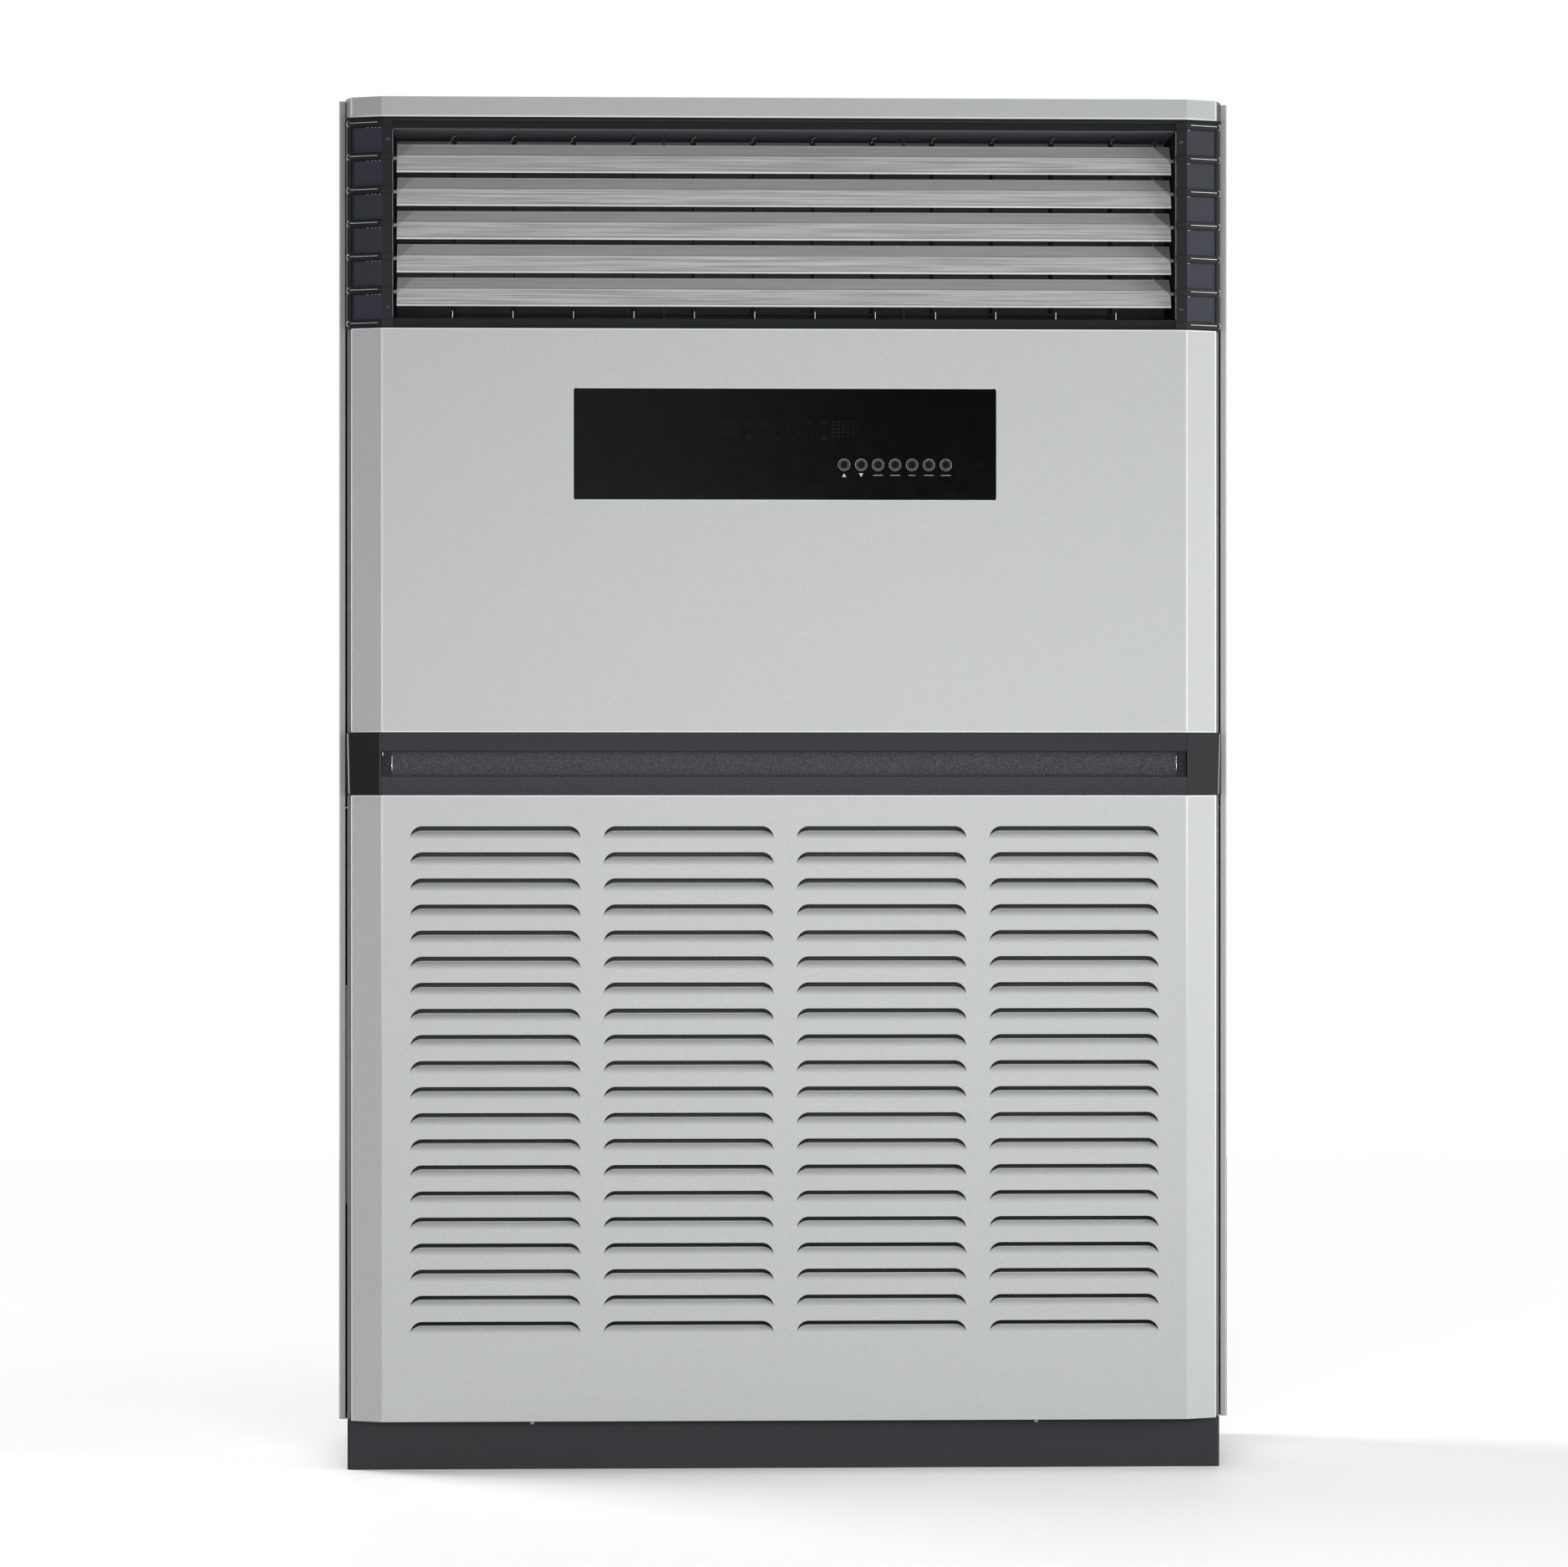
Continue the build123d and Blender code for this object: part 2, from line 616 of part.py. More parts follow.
with BuildPart() as outlet_frame:
    with BuildSketch(Plane.XZ.offset(-outlet_face)):
        with Locations((0, (ledge_low + ledge_high) / 2)):
            Rectangle(2 * flange_x, ledge_high - ledge_low)
    extrude(amount=-OUTLET_WALL)
    with BuildSketch(Plane.XZ.offset(-outlet_face)):
        with Locations((0, OUTLET_MID_Z)):
            Rectangle(2 * duct_x, duct_high - duct_low)
    extrude(amount=-OUTLET_DUCT_DEPTH)
    for shelf_z, shelf in (
        (ledge_low, OUTLET_BOTTOM_LEDGE),
        (ledge_high - OUTLET_TOP_LEDGE, OUTLET_TOP_LEDGE),
    ):
        with BuildSketch(Plane.XY.offset(shelf_z)):
            with BuildLine():
                Polyline(*ledge_points, close=True)
            make_face()
        extrude(amount=shelf)
    with BuildSketch(Plane.XZ.offset(-FRONT_Y)):
        with Locations((0, OUTLET_MID_Z)):
            Rectangle(2 * OUTLET_HALF_WIDTH, DUCT_CEILING_Z - DUCT_FLOOR_Z)
    extrude(amount=-DEPTH, mode=Mode.SUBTRACT)
    with BuildSketch(Plane.YZ):
        with Locations(*[(PIVOT_Y, level) for level in pivot_levels]):
            RegularPolygon(VANE_PIN_RADIUS + RUNNING_CLEARANCE, PIN_SIDES, major_radius=False)
    extrude(amount=2 * duct_x, both=True, mode=Mode.SUBTRACT)
    with BuildSketch(Plane.XY.offset(duct_low)):
        with Locations(*[(place, BLADE_Y) for place in blade_places]):
            RegularPolygon(BLADE_PIN_RADIUS + RUNNING_CLEARANCE, PIN_SIDES, major_radius=False)
    extrude(amount=duct_high - duct_low, mode=Mode.SUBTRACT)
write(outlet_frame, "outlet_frame")

# ---- corner mouldings of the outlet: a wrapped wall with round-ended ribs and shallow windows ----
corner_low = ledge_low + OUTLET_BOTTOM_LEDGE + SEAT_GAP
corner_high = ledge_high - OUTLET_TOP_LEDGE - SEAT_GAP
corner_face = outlet_face - CORNER_WALL - SEAT_GAP
rib_levels = [OUTLET_MID_Z + (RIB_COUNT - 1) * RIB_PITCH / 2 - row * RIB_PITCH for row in range(RIB_COUNT)]
window_levels = [level - RIB_PITCH / 2 for level in rib_levels[:-1]]
facet_shift = corner_face - FRONT_Y
corner_x = HALF_FRONT + SEAM_GAP
corner_path = [
    (OUTLET_HALF_WIDTH, corner_face),
    (HALF_FLAT, corner_face),
    (corner_x, corner_face + (corner_x - HALF_FLAT) * BEVEL_DEPTH / BEVEL_WIDTH),
    (corner_x, FRONT_Y + BEVEL_DEPTH + CAP_RETURN),
]
rib_path = [
    (OUTLET_HALF_WIDTH + SEAM_GAP, FRONT_Y + SEAM_GAP),
    (HALF_FLAT, FRONT_Y + SEAM_GAP),
    (HALF_FRONT, FRONT_Y + BEVEL_DEPTH),
    (cap_x, FRONT_Y + BEVEL_DEPTH + CAP_OVERHANG),
]
rib_nose = [
    (cap_x - RIB_HEIGHT / 2 * (1 - sin(radians(angle))), RIB_HEIGHT / 2 * cos(radians(angle)))
    for angle in range(0, 181, 45)
]
rib_points = [(HALF_FLAT - RIB_PITCH, RIB_HEIGHT / 2), *rib_nose, (HALF_FLAT - RIB_PITCH, -RIB_HEIGHT / 2)]
facet_plane = Plane(
    origin=(HALF_FLAT, corner_face, 0),
    x_dir=(cos(radians(BEVEL_ANGLE)), sin(radians(BEVEL_ANGLE)), 0),
    z_dir=(sin(radians(BEVEL_ANGLE)), -cos(radians(BEVEL_ANGLE)), 0),
)
with BuildPart() as corner_ribs:
    with BuildSketch(Plane.XY.offset(corner_low)):
        bent_sheet(rib_path, facet_shift + CORNER_WALL / 2)
    extrude(amount=corner_high - corner_low)
    with BuildSketch(Plane.XZ.offset(-FRONT_Y)):
        with Locations(*[(0, level) for level in rib_levels]):
            Polygon(*rib_points, align=None)
    extrude(amount=-SIDE_SETBACK, mode=Mode.INTERSECT)
with BuildPart() as right_outlet_corner:
    with BuildSketch(Plane.XY.offset(corner_low)):
        bent_sheet(corner_path, CORNER_WALL)
    extrude(amount=corner_high - corner_low)
    with BuildSketch(facet_plane):
        with Locations(*[(CORNER_WINDOW_WIDTH / 2, level) for level in window_levels]):
            Rectangle(CORNER_WINDOW_WIDTH, CORNER_WINDOW_HEIGHT)
    extrude(amount=-CORNER_WINDOW_DEPTH, mode=Mode.SUBTRACT)
    add(corner_ribs.part)
write(right_outlet_corner, "right_outlet_corner")
with BuildPart() as left_outlet_corner:
    add(right_outlet_corner.part)
    mirror(about=Plane.YZ, mode=Mode.REPLACE)
write(left_outlet_corner, "left_outlet_corner")

# ---- mullions: two uprights that stiffen the duct behind the vanes ----
mullion_x = OUTLET_HALF_WIDTH * MULLION_SHARE
with BuildPart() as outlet_mullions:
    with Locations(*[(place, FRONT_Y + MULLION_SETBACK, OUTLET_MID_Z) for place in (-mullion_x, mullion_x)]):
        Box(MULLION_WIDTH, MULLION_DEPTH, DUCT_CEILING_Z - DUCT_FLOOR_Z - 2 * SEAT_GAP)
write(outlet_mullions, "outlet_mullions")

# ---- vanes: folded blades with a rounded back, end pins and a crank lug for the link bar ----
vane_half = OUTLET_HALF_WIDTH - VANE_END_GAP
crease_z = VANE_HALF_HEIGHT - VANE_CREASE_DROP
vane_slope = (VANE_BACK_DEPTH + VANE_FRONT_DEPTH) / (2 * VANE_HALF_HEIGHT)
crease_y = VANE_BACK_DEPTH - VANE_CREASE_DROP * vane_slope - VANE_CREASE_FRONT
vane_pin_length = VANE_END_GAP + OUTLET_WALL - SEAT_GAP
vane_lug_x = OUTLET_HALF_WIDTH - VANE_LUG_INSET
for row, level in enumerate(pivot_levels):
    pivot_plane = Plane(origin=(0, PIVOT_Y, level), x_dir=(0, 1, 0), z_dir=(1, 0, 0))
    with BuildPart() as vane:
        with BuildSketch(pivot_plane):
            with BuildLine():
                lip = Polyline(
                    (VANE_BACK_DEPTH, VANE_HALF_HEIGHT),
                    (crease_y, crease_z),
                    (-VANE_FRONT_DEPTH + VANE_EDGE, VANE_LIP - VANE_HALF_HEIGHT),
                    (-VANE_FRONT_DEPTH, VANE_LIP - VANE_HALF_HEIGHT),
                    (-VANE_FRONT_DEPTH, -VANE_HALF_HEIGHT),
                    (-VANE_FRONT_DEPTH + VANE_EDGE, -VANE_HALF_HEIGHT),
                )
                ThreePointArc(lip @ 1, (VANE_BACK_BULGE, 0), lip @ 0)
            make_face()
        extrude(amount=vane_half, both=True)
        with BuildSketch(pivot_plane):
            RegularPolygon(VANE_PIN_RADIUS, PIN_SIDES)
        extrude(amount=vane_half + vane_pin_length, both=True)
        with BuildSketch(pivot_plane.offset(vane_lug_x)):
            with BuildLine():
                Polyline(
                    (0, 0),
                    (VANE_CRANK_BACK + LINK_WIDTH / 2, VANE_CRANK_UP - LINK_WIDTH / 2),
                    (VANE_CRANK_BACK + LINK_WIDTH / 2, VANE_CRANK_UP + LINK_WIDTH / 2),
                    (VANE_CRANK_BACK - LINK_WIDTH / 2, VANE_CRANK_UP + LINK_WIDTH / 2),
                    (VANE_BACK_DEPTH - 2 * VANE_EDGE, VANE_HALF_HEIGHT - 2 * VANE_EDGE),
                    close=True,
                )
            make_face()
        extrude(amount=VANE_LUG_THICKNESS)
        with BuildSketch(pivot_plane.offset(vane_lug_x)):
            with Locations((VANE_CRANK_BACK, VANE_CRANK_UP)):
                RegularPolygon(CRANK_PIN_RADIUS, PIN_SIDES)
        extrude(amount=VANE_LUG_THICKNESS + 2 * LINK_SIDE_GAP + LINK_THICKNESS)
    write(vane, f"vane_{row + 1}")

# ---- vane link bar: joins the five crank pins, so the vanes tilt together ----
crank_hole = CRANK_PIN_RADIUS + RUNNING_CLEARANCE
link_hole = CRANK_PIN_RADIUS + LINK_CLEARANCE
crank_levels = [level + VANE_CRANK_UP for level in pivot_levels]
with BuildPart() as vane_link_bar:
    with BuildSketch(Plane.YZ.offset(vane_lug_x + VANE_LUG_THICKNESS + LINK_SIDE_GAP)):
        with Locations((PIVOT_Y + VANE_CRANK_BACK, (crank_levels[0] + crank_levels[-1]) / 2)):
            Rectangle(LINK_WIDTH, crank_levels[0] - crank_levels[-1] + 2 * LINK_END)
        with Locations((PIVOT_Y + VANE_CRANK_BACK, crank_levels[0])):
            RegularPolygon(crank_hole, PIN_SIDES, major_radius=False, mode=Mode.SUBTRACT)
        with Locations(*[(PIVOT_Y + VANE_CRANK_BACK, level) for level in crank_levels[1:]]):
            RegularPolygon(link_hole, PIN_SIDES, major_radius=False, mode=Mode.SUBTRACT)
    extrude(amount=LINK_THICKNESS)
write(vane_link_bar, "vane_link_bar")

# ---- upright blades: thin plates on two pins, each with a crank pin underneath ----
blade_low = DUCT_FLOOR_Z + BLADE_END_GAP
blade_high = DUCT_CEILING_Z - BLADE_END_GAP
hub_low = DUCT_FLOOR_Z + BLADE_HUB_GAP
hub_high = DUCT_CEILING_Z - BLADE_HUB_GAP
hub_length = BLADE_END_GAP + 2 * BLADE_HUB_RADIUS
pin_low = duct_low + SEAT_GAP
pin_high = duct_high - SEAT_GAP
link_z = blade_low - LINK_SIDE_GAP - LINK_THICKNESS
for column, place in enumerate(blade_places):
    with BuildPart() as blade:
        with Locations((place, BLADE_Y, (blade_low + blade_high) / 2)):
            Box(BLADE_THICKNESS, BLADE_CHORD, blade_high - blade_low)
        with Locations(
            (place, BLADE_Y, hub_low + hub_length / 2),
            (place, BLADE_Y, hub_high - hub_length / 2),
        ):
            Box(2 * BLADE_HUB_RADIUS, 2 * BLADE_HUB_RADIUS, hub_length)
        for pin_z, reach in ((pin_low, hub_low - pin_low), (hub_high, pin_high - hub_high)):
            with BuildSketch(Plane.XY.offset(pin_z)):
                with Locations((place, BLADE_Y)):
                    RegularPolygon(BLADE_PIN_RADIUS, PIN_SIDES)
            extrude(amount=reach)
        with BuildSketch(Plane.XY.offset(link_z - LINK_SIDE_GAP)):
            with Locations((place, BLADE_Y - BLADE_CRANK)):
                RegularPolygon(CRANK_PIN_RADIUS, PIN_SIDES)
        extrude(amount=blade_low - link_z + LINK_SIDE_GAP)
    write(blade, f"blade_{column + 1}")

# ---- blade link bar: joins the crank pins under the blades, so they swing together ----
with BuildPart() as blade_link_bar:
    with BuildSketch(Plane.XY.offset(link_z)):
        with Locations((0, BLADE_Y - BLADE_CRANK)):
            Rectangle(blade_places[-1] - blade_places[0] + 2 * LINK_END, LINK_WIDTH)
        with Locations((blade_places[0], BLADE_Y - BLADE_CRANK)):
            RegularPolygon(crank_hole, PIN_SIDES, major_radius=False, mode=Mode.SUBTRACT)
        with Locations(*[(place, BLADE_Y - BLADE_CRANK) for place in blade_places[1:]]):
            RegularPolygon(link_hole, PIN_SIDES, major_radius=False, mode=Mode.SUBTRACT)
    extrude(amount=LINK_THICKNESS)
write(blade_link_bar, "blade_link_bar")

# ---- swing motor under the duct floor, below the last blade's pin ----
with BuildPart() as swing_motor:
    with BuildSketch(Plane.XY.offset(duct_low - SEAT_GAP - SWING_HEIGHT)):
        with Locations((blade_places[-1], BLADE_Y)):
            Rectangle(2 * (SWING_RADIUS + SWING_EAR), SWING_EAR_WIDTH)
            Circle(SWING_RADIUS)
    extrude(amount=SWING_HEIGHT)
write(swing_motor, "swing_motor")

# ---- display window: smoked panel with a hole for each button ----
button_places = [BUTTON_FIRST_X + step * BUTTON_PITCH for step in range(BUTTON_COUNT)]
with BuildPart() as display_window:
    with BuildSketch(Plane.XZ.offset(-WINDOW_FACE_Y)):
        with Locations((0, WINDOW_Z)):
            RectangleRounded(WINDOW_WIDTH, WINDOW_HEIGHT, WINDOW_RADIUS)
        with Locations(*[(place, BUTTON_Z) for place in button_places]):
            RegularPolygon(BUTTON_RADIUS + BUTTON_CLEARANCE, BUTTON_SIDES, mode=Mode.SUBTRACT)
    extrude(amount=-WINDOW_THICKNESS)
write(display_window, "display_window")

# ---- display housing behind the panel: it holds the window's back, the board and the buttons ----
housing_width = WINDOW_WIDTH + 2 * HOUSING_RIM
housing_height = WINDOW_HEIGHT + 2 * HOUSING_RIM
housing_face = FRONT_Y + SHEET + SEAT_GAP
housing_back = housing_face + HOUSING_DEPTH
housing_floor = housing_back - HOUSING_WALL
board_back = housing_floor - BOARD_STANDOFF
board_face = board_back - BOARD_THICKNESS
board_width = WINDOW_WIDTH - 2 * HOUSING_INSET - 2 * BOARD_MARGIN
board_height = WINDOW_HEIGHT - 2 * HOUSING_INSET - 2 * BOARD_MARGIN
boss_x = board_width / 2 - 2 * BOARD_BOSS_RADIUS
boss_z = board_height / 2 - 2 * BOARD_BOSS_RADIUS
with BuildPart() as display_housing:
    with BuildSketch(Plane.XZ.offset(-housing_face)):
        with Locations((0, WINDOW_Z)):
            Rectangle(housing_width, housing_height)
    extrude(amount=-HOUSING_DEPTH)
    with BuildSketch(Plane.XZ.offset(-housing_face)):
        with Locations((0, WINDOW_Z)):
            Rectangle(WINDOW_WIDTH + 2 * SEAM_GAP, WINDOW_HEIGHT + 2 * SEAM_GAP)
    extrude(amount=-(WINDOW_BACK_Y + SEAT_GAP - housing_face), mode=Mode.SUBTRACT)
    with BuildSketch(Plane.XZ.offset(-housing_face)):
        with Locations((0, WINDOW_Z)):
            Rectangle(WINDOW_WIDTH - 2 * HOUSING_INSET, WINDOW_HEIGHT - 2 * HOUSING_INSET)
    extrude(amount=-(HOUSING_DEPTH - HOUSING_WALL), mode=Mode.SUBTRACT)
    with BuildSketch(Plane.XZ.offset(-board_back - SEAT_GAP)):
        with Locations((0, WINDOW_Z)):
            with GridLocations(2 * boss_x, 2 * boss_z, 2, 2):
                Rectangle(2 * BOARD_BOSS_RADIUS, 2 * BOARD_BOSS_RADIUS)
    extrude(amount=-BOARD_STANDOFF + SEAT_GAP)
write(display_housing, "display_housing")

# ---- display board with a switch behind each button ----
flange_face = WINDOW_BACK_Y + BUTTON_FLANGE_GAP
stem_end = board_face - BUTTON_TRAVEL - 2 * SEAT_GAP
with BuildPart() as display_board:
    with BuildSketch(Plane.XZ.offset(-board_face)):
        with Locations((0, WINDOW_Z)):
            Rectangle(board_width, board_height)
    extrude(amount=-BOARD_THICKNESS)
write(display_board, "display_board")

# ---- seven push buttons: a cap through the window, a flange behind it and a stem ----
for step, place in enumerate(button_places):
    with BuildPart() as button:
        with BuildSketch(Plane.XZ.offset(-FRONT_Y)):
            with Locations((place, BUTTON_Z)):
                RegularPolygon(BUTTON_RADIUS, BUTTON_SIDES)
        extrude(amount=-(flange_face - FRONT_Y))
        with BuildSketch(Plane.XZ.offset(-flange_face)):
            with Locations((place, BUTTON_Z)):
                Rectangle(2 * BUTTON_FLANGE_RADIUS, 2 * BUTTON_FLANGE_RADIUS)
        extrude(amount=-BUTTON_FLANGE)
        with BuildSketch(Plane.XZ.offset(-flange_face - BUTTON_FLANGE)):
            with Locations((place, BUTTON_Z)):
                Rectangle(2 * BUTTON_STEM_RADIUS, 2 * BUTTON_STEM_RADIUS)
        extrude(amount=-(stem_end - flange_face - BUTTON_FLANGE))
    write(button, f"button_{step + 1}")

# ---- blower deck: the shelf between the fan chamber and the coil chamber ----
deck_z = STRIP_Z - DECK_DROP
blower_x = WIDTH * BLOWER_SHARE
scroll_front_y = SIDE_Y + SCROLL_FRONT_GAP
scroll_back_y = REAR_SHEET_Y - SCROLL_REAR_GAP
start_radius = (scroll_back_y - scroll_front_y - 3 * SCROLL_GROWTH) / 2
bottom_radius = start_radius + SCROLL_GROWTH
blower_y = scroll_front_y + start_radius
deck_half = WIDTH / 2 - SHEET - SEAT_GAP
deck_front_y = SIDE_Y - SHEET + POST_DEPTH + SEAT_GAP
deck_rear_y = REAR_SHEET_Y - SHEET - 2 * SEAT_GAP
deck_nose_half = HALF_POST - POST_FLANGE - SEAT_GAP
pan_floor_z = deck_z + DECK_SHEET + PAN_FOOT + PAN_WALL
pan_width = WIDTH - 2 * PAN_INSET
pan_y = FRONT_Y + PAN_SETBACK + PAN_DEPTH / 2
spout_x = pan_width / 2 - SPOUT_INSET
coil_reach = COIL_THICKNESS / 2 + COIL_PLATE_RIM
coil_length = pan_width - 2 * COIL_END_MARGIN
coil_run = REAR_SHEET_Y - COIL_REAR_GAP - FRONT_Y - COIL_SETBACK
coil_rise = OUTLET_Z - COIL_HEADROOM - deck_z
coil_height = hypot(coil_run, coil_rise)
coil_lean = atan2(coil_run, coil_rise)
coil_plane = Plane(
    origin=(0, FRONT_Y + COIL_SETBACK, pan_floor_z + SEAT_GAP + coil_reach * sin(coil_lean)),
    x_dir=(1, 0, 0),
    z_dir=(0, -cos(coil_lean), sin(coil_lean)),
)
header_x = pan_width / 2 + PIPE_PAN_GAP + GAS_RADIUS
header_foot = coil_plane.from_local_coords((header_x, HEADER_START, -HEADER_ROW))
coil_end = coil_length / 2 + COIL_PLATE + SEAT_GAP
liquid_start = coil_plane.from_local_coords((coil_end, LIQUID_START, -HEADER_ROW))
liquid_x = header_x + GAS_RADIUS + LIQUID_RADIUS + SEAT_GAP
with BuildPart() as blower_deck:
    with BuildSketch(Plane.XY.offset(deck_z)):
        with Locations((0, (deck_front_y + deck_rear_y) / 2)):
            Rectangle(2 * deck_half, deck_rear_y - deck_front_y)
        with Locations((0, (SIDE_Y + deck_rear_y) / 2)):
            Rectangle(2 * deck_nose_half, deck_rear_y - SIDE_Y)
        with Locations(*[(side, (blower_y + scroll_back_y) / 2) for side in (-blower_x, blower_x)]):
            Rectangle(
                SCROLL_WIDTH - 2 * SCROLL_SHEET,
                scroll_back_y - blower_y - 2 * SCROLL_SHEET,
                mode=Mode.SUBTRACT,
            )
        with Locations((header_x, header_foot.Y)):
            RegularPolygon(GAS_RADIUS + DECK_HOLE_GAP, PIN_SIDES, major_radius=False, mode=Mode.SUBTRACT)
        with Locations((liquid_x, liquid_start.Y)):
            RegularPolygon(LIQUID_RADIUS + DECK_HOLE_GAP, PIN_SIDES, major_radius=False, mode=Mode.SUBTRACT)
        with Locations((spout_x, pan_y)):
            RegularPolygon(SPOUT_RADIUS + DECK_HOLE_GAP, PIN_SIDES, major_radius=False, mode=Mode.SUBTRACT)
    extrude(amount=DECK_SHEET)
write(blower_deck, "blower_deck")

# ---- blower scrolls: a spiral wrapper of three quarter turns, growing towards the outlet ----
scroll_top = deck_z - SEAT_GAP
for side, label in ((-blower_x, "left_blower_scroll"), (blower_x, "right_blower_scroll")):
    with BuildPart() as scroll:
        with BuildSketch(Plane.YZ.offset(side - SCROLL_WIDTH / 2)):
            with BuildLine():
                front = Line((blower_y, scroll_top), (blower_y, BLOWER_Z + start_radius))
                first = TangentArc(
                    front @ 1,
                    (blower_y - start_radius, BLOWER_Z),
                    tangent=(-1, 0),
                )
                second = TangentArc(
                    first @ 1,
                    (blower_y + SCROLL_GROWTH, BLOWER_Z - bottom_radius),
                    tangent=(0, -1),
                )
                third = TangentArc(
                    second @ 1,
                    (scroll_back_y, BLOWER_Z + SCROLL_GROWTH),
                    tangent=(1, 0),
                )
                Polyline(third @ 1, (scroll_back_y, scroll_top), front @ 0)
            make_face()
        extrude(amount=SCROLL_WIDTH)
        offset(
            amount=-SCROLL_SHEET,
            openings=scroll.faces().sort_by(Axis.Z)[-1],
            kind=Kind.INTERSECTION,
        )
        with BuildSketch(Plane.YZ.offset(side)):
            with Locations((blower_y, BLOWER_Z)):
                RegularPolygon(start_radius - INLET_MARGIN, WHEEL_SIDES, major_radius=False)
        extrude(amount=SCROLL_WIDTH, both=True, mode=Mode.SUBTRACT)
    write(scroll, label)

# ---- fan wheels: double-inlet wheels with forward-leaning blades between end rings ----
wheel_half = SCROLL_WIDTH / 2 - WHEEL_SIDE_GAP
wheel_radius = start_radius - WHEEL_MARGIN
shaft_bore = SHAFT_RADIUS + RUNNING_CLEARANCE
for side, label in ((-blower_x, "left_fan_wheel"), (blower_x, "right_fan_wheel")):
    wheel_plane = Plane(origin=(side, blower_y, BLOWER_Z), x_dir=(0, 1, 0), z_dir=(1, 0, 0))
    with BuildPart() as wheel:
        with BuildSketch(wheel_plane):
            with PolarLocations(wheel_radius - WHEEL_BLADE_DEPTH / 2, WHEEL_BLADES):
                Rectangle(WHEEL_BLADE_DEPTH - WHEEL_RING / 2, WHEEL_BLADE, rotation=WHEEL_BLADE_LEAN)
        extrude(amount=wheel_half - WHEEL_RING / 2, both=True)
        for ring_x in (-wheel_half, wheel_half - WHEEL_RING):
            with BuildSketch(wheel_plane.offset(ring_x)):
                RegularPolygon(wheel_radius, WHEEL_SIDES)
                RegularPolygon(wheel_radius - WHEEL_BLADE_DEPTH, WHEEL_SIDES, mode=Mode.SUBTRACT)
            extrude(amount=WHEEL_RING)
        with BuildSketch(wheel_plane):
            RegularPolygon(wheel_radius, WHEEL_SIDES)
        extrude(amount=WHEEL_RING / 2, both=True)
        with BuildSketch(wheel_plane):
            RegularPolygon(WHEEL_HUB_RADIUS, PIN_SIDES)
        extrude(amount=WHEEL_HUB_LENGTH / 2, both=True)
        with BuildSketch(wheel_plane):
            Circle(shaft_bore)
        extrude(amount=WHEEL_HUB_LENGTH, both=True, mode=Mode.SUBTRACT)
    write(wheel, label)

# ---- fan shaft, and the motor that it runs through ----
axis_plane = Plane(origin=(0, blower_y, BLOWER_Z), x_dir=(0, 1, 0), z_dir=(1, 0, 0))
with BuildPart() as fan_shaft:
    with BuildSketch(axis_plane):
        Circle(SHAFT_RADIUS)
    extrude(amount=blower_x + WHEEL_HUB_LENGTH / 2 + SHAFT_OVERHANG, both=True)
write(fan_shaft, "fan_shaft")
with BuildPart() as fan_motor:
    with BuildSketch(axis_plane):
        Circle(MOTOR_RADIUS)
    extrude(amount=MOTOR_LENGTH / 2, both=True)
    with BuildSketch(axis_plane):
        Circle(shaft_bore)
    extrude(amount=MOTOR_LENGTH, both=True, mode=Mode.SUBTRACT)
write(fan_motor, "fan_motor")

# ---- motor stand: two saddle plates on a foot plate ----
stand_z = BASE_HEIGHT + SEAT_GAP
stand_top_half = MOTOR_RADIUS + STAND_RIM
with BuildPart() as motor_stand:
    with BuildSketch(Plane.YZ.offset(-STAND_WIDTH / 2)):
        with BuildLine():
            Polyline(
                (blower_y - STAND_DEPTH / 2, stand_z),
                (blower_y + STAND_DEPTH / 2, stand_z),
                (blower_y + stand_top_half, BLOWER_Z),
                (blower_y - stand_top_half, BLOWER_Z),
                close=True,
            )
        make_face()
        with Locations((blower_y, BLOWER_Z)):
            Circle(MOTOR_RADIUS + SEAT_GAP, mode=Mode.SUBTRACT)
    extrude(amount=STAND_SHEET)
    mirror(about=Plane.YZ)
    with Locations((0, blower_y, stand_z + STAND_SHEET / 2)):
        Box(STAND_WIDTH, STAND_DEPTH, STAND_SHEET)
write(motor_stand, "motor_stand")

# ---- evaporator: a leaning fin block between two end plates ----
with BuildPart() as evaporator_coil:
    with BuildSketch(coil_plane):
        with Locations((0, COIL_PLATE_RIM + coil_height / 2)):
            Rectangle(coil_length, coil_height)
    extrude(amount=COIL_THICKNESS / 2, both=True)
    plate_x = (coil_length + COIL_PLATE) / 2
    with BuildSketch(coil_plane):
        with Locations(
            (-plate_x, COIL_PLATE_RIM + coil_height / 2),
            (plate_x, COIL_PLATE_RIM + coil_height / 2),
        ):
            Rectangle(COIL_PLATE, coil_height + 2 * COIL_PLATE_RIM)
    extrude(amount=coil_reach, both=True)
write(evaporator_coil, "evaporator_coil")

